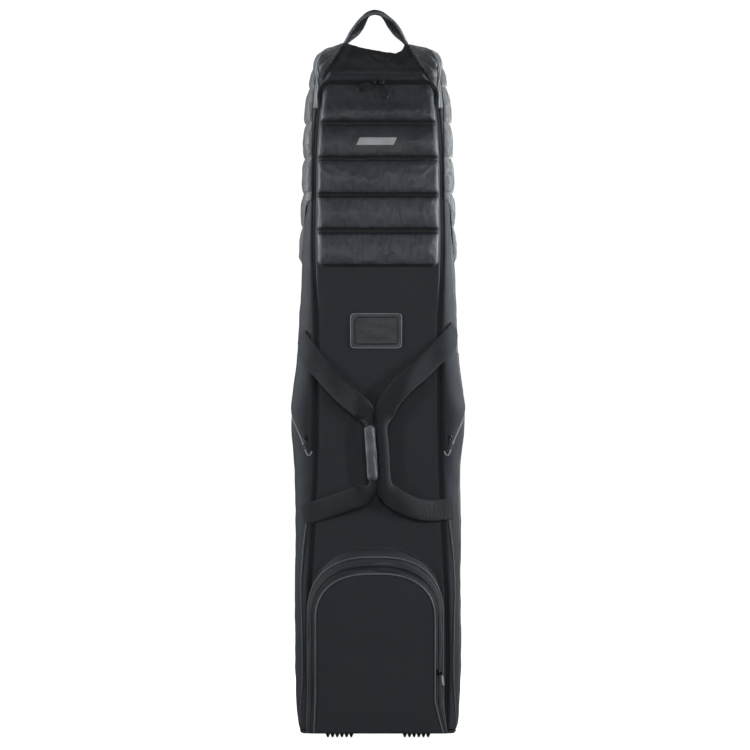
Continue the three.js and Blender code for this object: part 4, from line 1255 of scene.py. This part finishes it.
def pocket_face(name, low, high, seed):
    """The pocket's front: a slightly full panel inside the last outline."""
    edge = pocket_ring(POCKET_OUT, -0.001, 0.004)
    crown = edge[:, 1].max()
    turn = len(edge) // 2
    sides = sorted([edge[: turn + 1], edge[turn:]], key=lambda line: line[:, 0].mean())
    ends = [line[np.argsort(line[:, 1])] for line in sides]
    zs = np.linspace(low, crown - 0.03, 74)
    zs = np.concatenate([zs, crown - 0.03 * (1 - np.sin(np.linspace(0, math.pi / 2, 22)[1:-1]))])
    z, share = mesh_of(zs[zs <= high], np.sin(np.linspace(-math.pi / 2, math.pi / 2, 64)))
    left, right = (np.interp(z, line[:, 1], line[:, 0]) for line in ends)
    x = left + (right - left) * (share + 1) / 2
    away = np.minimum(np.minimum(x - left, right - x), crown - z)
    full = 0.0035 * np.sqrt(np.clip(away / 0.06, 0, 1)) + 0.0012 * ripple(x, z, 0.08, seed)
    full = full * step(away, 0, 0.015) + hem(away, 0.0015)
    full = full * step(z, low - 0.02, low + 0.03)
    points = np.stack([x, FRONT - POCKET_OUT - full, z], -1)
    return thicken(grid(name, points, np.stack([x, z], -1), [SHELL, LINING]), 0.003, 1)


def pocket_bend(obj):
    """Bakes the placing of a piece of the pocket's flap into its mesh."""
    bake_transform(obj)


def frame_joint(name):
    """Where a joint of the frame turns."""
    return Vector(next(j["pos_m"] for j in frame["joints"] if j["name"] == name))


def front_pocket():
    side = joined("front_pocket_side", [
        pocket_side("pocket_back_side", 0.0, POCKET_SEAM, 10, SHELL, 51),
        pocket_side("pocket_zip_side", POCKET_SEAM, ZIP_OUT[0], 6, SHELL, 52),
    ])
    settle_on(side, "case_body", "shell_fabric", "front_pocket_gusset")
    settle_on(ring_pipe("pocket_outer_piping", POCKET_SEAM, 0.0006), "case_body", "shell_fabric")
    seat = ring_pipe("pocket_seam_piping", 0.0012, 0.0015, 0.0011, cloth=THREAD)
    settle_on(seat, "case_body", "shell_fabric")

    # The tape's darker cloth is partly its own colour and partly painted shade for the pocket's upward-facing
    # top.
    tape = pocket_side("pocket_tape", ZIP_OUT[0] - 0.001, ZIP_OUT[1] + 0.001, 4, POCKET_TAPE_SHADE, 53)
    teeth = pocket_teeth("pocket_teeth", sum(ZIP_OUT) / 2 - 0.0008, 0.0014)
    settle_on(joined("front_pocket_zip_line", [tape, teeth]), "case_body", "zip_tape", "front_pocket_zip")

    rim = pocket_side("front_pocket_rim", ZIP_OUT[1], POCKET_OUT, 4, SHELL, 54)
    pocket_bend(rim)
    face = pocket_face("front_pocket_face", SKIRT + 0.001, 0.4, 55)
    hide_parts("front_pocket_flap", "front_pocket_lower_panel")
    pocket_bend(face)
    inner = ring_pipe("pocket_face_piping", POCKET_OUT, 0.0, 0.0014, 0.0012)
    pocket_bend(inner)

    body = slider("front_pocket_slider_body", "front_pocket_slider")
    settle_on(body, "pocket_slider", "steel")
    place = facing(frame_joint("pocket_pull_swing"), math.radians(63.4), 0.12, 0.0)
    made = puller("front_pocket_pull_tab", place, 0.008, 0.026, 0.0018, PALE_PLASTIC)
    settle_on(made, "pocket_pull", "moulded", "front_pocket_pull")


# ---- side pockets ----

SIDE_POCKET = {"top": 0.7, "foot": 0.514, "rise": 0.112, "width": 0.15, "start": 0.0045, "bulge": 0.006}


def side_pocket_u(z, share):
    start = zip_line(z) + ZIP_HALF + SIDE_POCKET["start"]
    return start + (SIDE_POCKET["width"] - SIDE_POCKET["start"]) * share


def side_pocket_foot(share):
    rounded_end = 0.008 * np.clip(1 - share / 0.03, 0, 1) ** 2
    sweep = 1 - np.exp(-6.75 * np.maximum(share - 0.045, 0) ** 1.2)
    return SIDE_POCKET["foot"] + SIDE_POCKET["rise"] * sweep + rounded_end


def side_pockets():
    top = SIDE_POCKET["top"]
    for side, name in SIDES:
        t, share = mesh_of(np.linspace(0, 1, 70), np.linspace(0, 1, 60))
        if side < 0:
            share = 1 - share
        foot = side_pocket_foot(share)
        z = foot + (top - foot) * t
        u = side_pocket_u(z, share)
        across = np.clip(np.minimum(share, 1 - share) / 0.3, 0, 1)
        up = np.clip((z - foot) / 0.03, 0, 1)
        down = np.clip((top - z) / 0.13, 0, 1)
        swell = np.sqrt(1 - (1 - across) ** 2) * np.sqrt(1 - (1 - up) ** 2) * step(down, -0.15, 1)
        waves = 0.0013 * ripple(u, z, 0.07, 61 + side) * swell
        depth = 0.0012 + SIDE_POCKET["bulge"] * swell + waves
        cloth = grid(f"{name}_side_pocket_cloth", skin(side * u, z, depth), np.stack([u, z], -1), SHELL)
        thicken(cloth, 0.002)
        settle_on(cloth, "case_body", "shell_fabric", f"{name}_side_pocket")
        across = np.linspace(0, 1, 50)
        foot = side_pocket_foot(across)
        line = np.c_[side * side_pocket_u(foot, across), foot - 0.0005]
        pipe_on_skin(f"{name}_pocket_piping", line, 0.0018, radius=0.0015, cloth=BRIGHT_PIPED)
        rear = np.linspace(foot[-1], top, 30)
        pipe_on_skin(f"{name}_pocket_seam", np.c_[side * side_pocket_u(rear, 1.0), rear], 0.001)
        heights = np.linspace(0.523, top, 60)
        path = np.c_[side * (zip_line(heights) + ZIP_HALF + 0.0046), heights]
        line = whole_zip(f"{name}_pocket_zip_line", path, 0.004, 0.0007)
        settle_on(line, "case_body", "zip_tape", f"{name}_side_pocket_zip")
        body = slider(f"{name}_pocket_slider_body", f"{name}_side_pocket_slider")
        settle_on(body, f"{name}_pocket_slider", "steel")
        hinge = frame_joint(f"{name}_pocket_pull_swing")
        turn = math.atan2(hinge.x, 0.16) * 0.6
        made = puller(f"{name}_pocket_pull_tab", facing(hinge, turn, 0.12, 0.0), 0.007, 0.022, 0.0016)
        settle_on(made, f"{name}_pocket_pull", "moulded", f"{name}_side_pocket_pull")


# ---- card window ----


def card_window():
    low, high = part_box("card_window")
    border, thick = 0.0075, 0.0016
    middle = ((low.x + high.x) / 2, (low.z + high.z) / 2)
    half = ((high.x - low.x) / 2, (high.z - low.z) / 2)
    place = facing((middle[0], FRONT - 0.0036, middle[1]))
    outer = oval(*half, power=14, count=96)
    inner = oval(half[0] - border, half[1] - border, power=12, count=96)
    frame_piece = plate("card_window_frame", [outer, inner], thick, 0.0006, FRAME_CLOTH, place)
    settle_on(frame_piece, "case_body", "vinyl", "card_window")
    v, s = mesh_of(np.linspace(-1, 1, 40), np.linspace(-1, 1, 56))
    x, z = s * (half[0] - border + 0.001), v * (half[1] - border + 0.001)
    rim = np.minimum(1 - np.abs(s), 1 - np.abs(v))
    waves = 0.00035 * ripple(x, z, 0.03, 71) * step(rim, 0, 0.15)
    y = FRONT - 0.0030 - waves - 0.0012 * step(rim, 0.0, 0.1)
    points = np.stack([x + middle[0], y, z + middle[1]], -1)
    pane = grid("card_window_pane", points, np.stack([x, z], -1), VINYL)
    settle_on(thicken(pane, 0.0004), "case_body", "vinyl")

    def round_window(inset):
        return closed(oval(half[0] - inset, half[1] - inset, middle, 14, 120))

    x, z = round_window(0.0012).T
    welt = np.stack([x, np.full_like(x, FRONT - 0.0042), z], -1)
    welt = tube("card_window_welt", welt, 0.0008, BRIGHT_PIPED)
    settle_on(welt, "case_body", "vinyl")
    stitches("card_window_stitches", round_window(0.0055), 0.0046, "case_body", "vinyl", 0.0035)


# ---- carrying handles ----

STAND_OFF = 0.03
SEAM_X = 0.15
BARS = {"left": ((-0.016, 0.568), (-0.0095, 0.468)), "right": ((0.006, 0.568), (0.0125, 0.468))}
# The middle lines of the straps from their upper seams to their bars, and from there to their lower seams.
ARMS = {
    "left": (
        [(-0.15, 0.732), (-0.12, 0.692), (-0.09, 0.655), (-0.056, 0.620), (-0.026, 0.594)],
        [(-0.0125, 0.454), (-0.027, 0.4425), (-0.048, 0.435), (-0.087, 0.421), (-0.137, 0.405)],
    ),
    "right": (
        [(0.15, 0.745), (0.115, 0.708), (0.077, 0.669), (0.045, 0.641), (0.016, 0.603)],
        [(0.0145, 0.454), (0.027, 0.439), (0.044, 0.428), (0.08, 0.4145), (0.137, 0.4165)],
    ),
}


def strap_lift(x):
    return STAND_OFF * step(SEAM_X - np.abs(x), 0, SEAM_X - 0.032)


def strap_path(name):
    """The middle line of a strap, and how far along it its bar begins and ends."""
    (upper, lower), (top, foot) = ARMS[name], np.array(BARS[name])
    bar = [top + (foot - top) * share for share in (0, 0.35, 0.65, 1)]
    path = smooth_path([*upper, *bar, *lower], 0.004)
    along = length_of(path)
    begin, end = (along[np.argmin(np.linalg.norm(path - p, axis=1))] for p in (top, foot))
    return path, along, begin, end


def webbing_loop(name, roll, narrow, flat):
    """A webbing loop, flat where it is sewn on and rolled up lengthwise along its bar."""
    path, along, begin, end = strap_path(name)
    normal = normals_of(path)
    rolled = step(along, begin - 0.034, begin + 0.004) * (1 - step(along, end - 0.004, end + 0.045))
    rolled = rolled[:, None]
    across = np.linspace(-0.5, 0.5, 17) * WEBBING
    bend = np.maximum(rolled * roll, 1e-3) / WEBBING
    lateral = np.sin(bend * across) / bend * (1 - (1 - narrow) * rolled)
    back = (1 - np.cos(bend * across)) / bend * (1 - (1 - flat) * rolled)
    droop = 0.0014 * ripple(along[:, None], across[None] * 2, 0.09, 81 + len(name))
    edge_fall = 0.0015 * (2 * np.abs(across[None]) / WEBBING) ** 4
    lift = strap_lift(path[:, 0])[:, None]
    free = step(lift, 0.004, 0.016) * (1 - rolled)
    sheets = []
    for thick in (0, 0.0017):
        aside = lateral + np.sin(bend * across) * thick
        x, z = (path[:, None, k] + normal[:, None, k] * aside for k in (0, 1))
        d = 0.001 + lift - back + thick * np.cos(bend * across) + (droop - edge_fall) * free
        sheets.append(skin(x, z, np.maximum(d, 0.0006 + thick)))
    behind, front = sheets
    return two_faced(f"{name}_carry_webbing", front, behind, across, along, STRAP, flip=True), path


def handles():
    rolls = {"left": (5.2, 0.6, 0.28), "right": (4.0, 1.0, 0.6)}
    for side, name in SIDES:
        loop, path = webbing_loop(name, *rolls[name])
        if loop.data.polygons[0].normal.y > 0:
            loop.data.flip_normals()
        subdivide(loop)
        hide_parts(f"{name}_handle_strap")
        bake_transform(loop)
        for end, pick in (("upper", path[:9]), ("lower", path[::-1][:9])):
            ahead = unit(pick[-1] - pick[0])
            sideways = np.array([-ahead[1], ahead[0]]) * 0.017
            centre = pick[0] + ahead * 0.006
            line = np.linspace(centre - sideways, centre + sideways, 12)
            stitches(f"{name}_{end}_webbing_stitches", line, 0.0034, "case_body", "webbing", 0.003)


def handle_grip():
    """The padded wrap round the left bar: a closed sleeve with soft ends and a seam down its side."""
    top, foot = (np.array(p) for p in BARS["left"])
    middle, way = (top + foot) / 2, unit(top - foot)
    half, wall = 0.049, 0.72
    s, a = mesh_of(np.linspace(-1, 1, 46), np.linspace(0, 2 * math.pi, 44, endpoint=False))
    ends = 1 - np.clip((np.abs(s) - 0.9) / 0.1, 0, 1) ** 2 * 0.35
    waves = 1 + 0.035 * ripple(s * 0.05, a * 0.012, 0.018, 91) + 0.02 * np.cos(s * 9)
    across = 0.0094 * ends * waves * rounded(np.cos(a), 0.8)
    out = 0.0072 * ends * waves * rounded(np.sin(a), 0.8)
    lift = np.full_like(s, FRONT - STAND_OFF - 0.0008)
    x, z = middle[0] + way[0] * s * half, middle[1] + way[1] * s * half
    centre = np.stack([x, lift, z], -1)
    points = np.stack([x + way[1] * across, lift - out, z - way[0] * across], -1)
    inner = centre + (points - centre) * wall
    ring = closed(np.concatenate([points, inner[::-1]]))
    uv = np.stack([a * 0.0078, s * half], -1)
    uv = closed(np.concatenate([uv, uv[::-1]]))
    sleeve = piece("padded_grip", ring, grid_faces(*ring.shape[:2], True), GRIP, uv)
    weld(sleeve, 1e-5)
    outward_face = min(sleeve.data.polygons, key=lambda f: f.center.y)
    if outward_face.normal.y > 0:
        sleeve.data.flip_normals()
    subdivide(sleeve)
    settle_on(sleeve, "left_handle", "grip_fabric", "handle_grip")
    seam = points[2:-2, 3] - [0, 0.0002, 0]
    settle_on(tube("grip_seam", seam, 0.0009, PIPED), "left_handle", "grip_fabric")


def top_handle():
    """A twisted webbing loop on the ridge, edge-on over its crown and turned to the front in its legs."""
    outline = [
        (-0.062, 1.266), (-0.0505, 1.283), (-0.04, 1.2965), (-0.0285, 1.3125), (-0.0185, 1.3225),
        (-0.006, 1.3262), (0.006, 1.3235), (0.0165, 1.3155), (0.029, 1.302), (0.0405, 1.286), (0.0535, 1.266),
    ]
    half, thick, foot = 0.0165, 0.0022, 1.262
    path = smooth_path(outline, 0.003)
    share = np.abs(np.linspace(-1, 1, len(path)))[:, None]
    inward = -normals_of(path)
    turn = 0.4 * step(share, 0.12, 0.5)
    gather = 1 - 0.72 * step(share, 0.62, 0.98)
    across = np.linspace(-1, 1, 15)
    curl = 0.005 * (across**2 - 0.4) * gather
    rings = []
    for layer in (-thick, thick):
        depth = np.cos(turn) * across * half * gather + np.sin(turn) * layer
        inset = np.sin(turn) * across * half * gather + curl + layer
        x, z = (path[:, None, k] + inward[:, None, k] * inset for k in (0, 1))
        rings.append(np.stack([x, HANDLE_Y + depth, np.maximum(z, foot)], -1))
    loop = two_faced("top_handle_webbing", *rings, across * half, length_of(path), HANDLE)
    subdivide(loop)
    lines = (rings[0] + rings[1]) / 2
    edges = [tube(f"handle_edge_{column}", lines[:, column], 0.0021, PIPED) for column in (0, 14)]
    whole = joined("top_handle_loop", [loop] + edges)
    settle_on(whole, "top_grab_handle", "webbing", "top_handle")


# ---- moulded parts ----


def tyre_profile():
    """A grooved in-line tyre, from its seat on the hub out to its crown."""
    flank = [(0.0238, 0.0092), (0.0262, 0.0112), (0.0292, 0.012), (0.0316, 0.0112)]
    profile = [(radius, -x) for radius, x in flank]
    for angle in np.linspace(-1.05, 1.05, 25):
        radius = 0.0255 + 0.0105 * math.cos(angle) - (0.0009 if abs(abs(angle) - 0.45) < 0.06 else 0)
        profile.append((radius, 0.0108 * math.sin(angle) / math.sin(1.05)))
    return profile + flank[::-1]


def wheels():
    for side, name in SIDES:
        low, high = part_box(f"{name}_wheel_tyre")
        axle = (low + high) / 2
        tyre = lathe(f"{name}_tyre", tyre_profile(), axle, RUBBER, 96, side)
        settle_on(tyre, f"{name}_wheel", "urethane", f"{name}_wheel_tyre")
        parts = [softened(f"{name}_wheel_hub", PLASTIC, 0.0006, 2, f"{name}_hub")]
        for i in range(6):
            angle = i * math.pi / 3
            way = np.array([0, math.cos(angle), math.sin(angle)])
            cross = np.array([0, -math.sin(angle), math.cos(angle)])
            for face in (-1, 1):
                out = np.array([face, 0, 0])
                start, end = (np.array(axle) + way * reach + 0.0094 * out for reach in (0.0118, 0.0225))
                spoke = (f"{name}_spoke_{i}_{face}", [start], [end], cross, out, 0.003, 0.0014, PLASTIC)
                parts.append(blocks(*spoke))
        hub = joined(f"{name}_hub", parts)
        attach(hub, f"{name}_wheel")
        for node in ("outer_bearing", "inner_bearing"):
            settle_on(softened(f"{name}_{node}", STEEL, 0.0004), f"{name}_wheel", "steel")
        settle_on(softened(f"{name}_axle_bolt", STEEL, 0.0006), "case_body", "steel")
        settle_on(softened(f"{name}_wheel_housing", PLASTIC, 0.0018, 3), "case_body", "moulded")


# The moulded parts and straps under the case: node, material, rounding, steps, body and finish.
UNDERSIDE = [
    ("base_board", PLASTIC, 0.0006, 1, "case_body", "moulded"),
    ("skid_plate", PLASTIC, 0.0012, 3, "case_body", "moulded"),
    ("left_front_foot", PLASTIC, 0.0005, 2, "case_body", "moulded"),
    ("left_skid_rail", PLASTIC, 0.0012, 2, "case_body", "moulded"),
    ("right_front_foot", PLASTIC, 0.0005, 2, "case_body", "moulded"),
    ("right_skid_rail", PLASTIC, 0.0012, 2, "case_body", "moulded"),
    ("cinch_webbing_left", STRAP, 0.0004, 1, "case_body", "webbing"),
    ("cinch_webbing_right", STRAP, 0.0004, 1, "case_body", "webbing"),
    ("cinch_buckle_socket", PLASTIC, 0.0012, 3, "case_body", "moulded"),
    ("cinch_buckle_prongs", PLASTIC, 0.0008, 2, "cinch_prongs", "moulded"),
]


def base_parts():
    base = softened("base_plate", PLASTIC, 0.0012, 2)
    for vertex in base.data.vertices:
        x, y, z = vertex.co
        vertex.co = min(max(x, -0.139), 0.139), min(max(y, FRONT + 0.004), BACK - 0.004), z
    settle_on(base, "case_body", "moulded")
    for node, material, width, segments, body, slot in UNDERSIDE:
        settle_on(softened(node, material, width, segments), body, slot)
    height = 0.026  # where the binding's length is taken
    reach = float(ring_end(height)) * 0.999
    u = np.linspace(-reach, reach, 220)
    u = u[np.abs(u) < float(side_end(height)) - 0.02]
    binding = tube("base_binding", skin(u, SKIRT + 0.001, 0.0006), 0.0022, STRAP)
    settle_on(binding, "case_body", "webbing")


for build in (
    front_panel, side_panels, back_panel, panel_piping, main_zip, main_sliders, front_quilt, side_quilts,
    label, hood, front_pocket, side_pockets, card_window, handles, handle_grip, top_handle, wheels,
    base_parts,
):
    build()
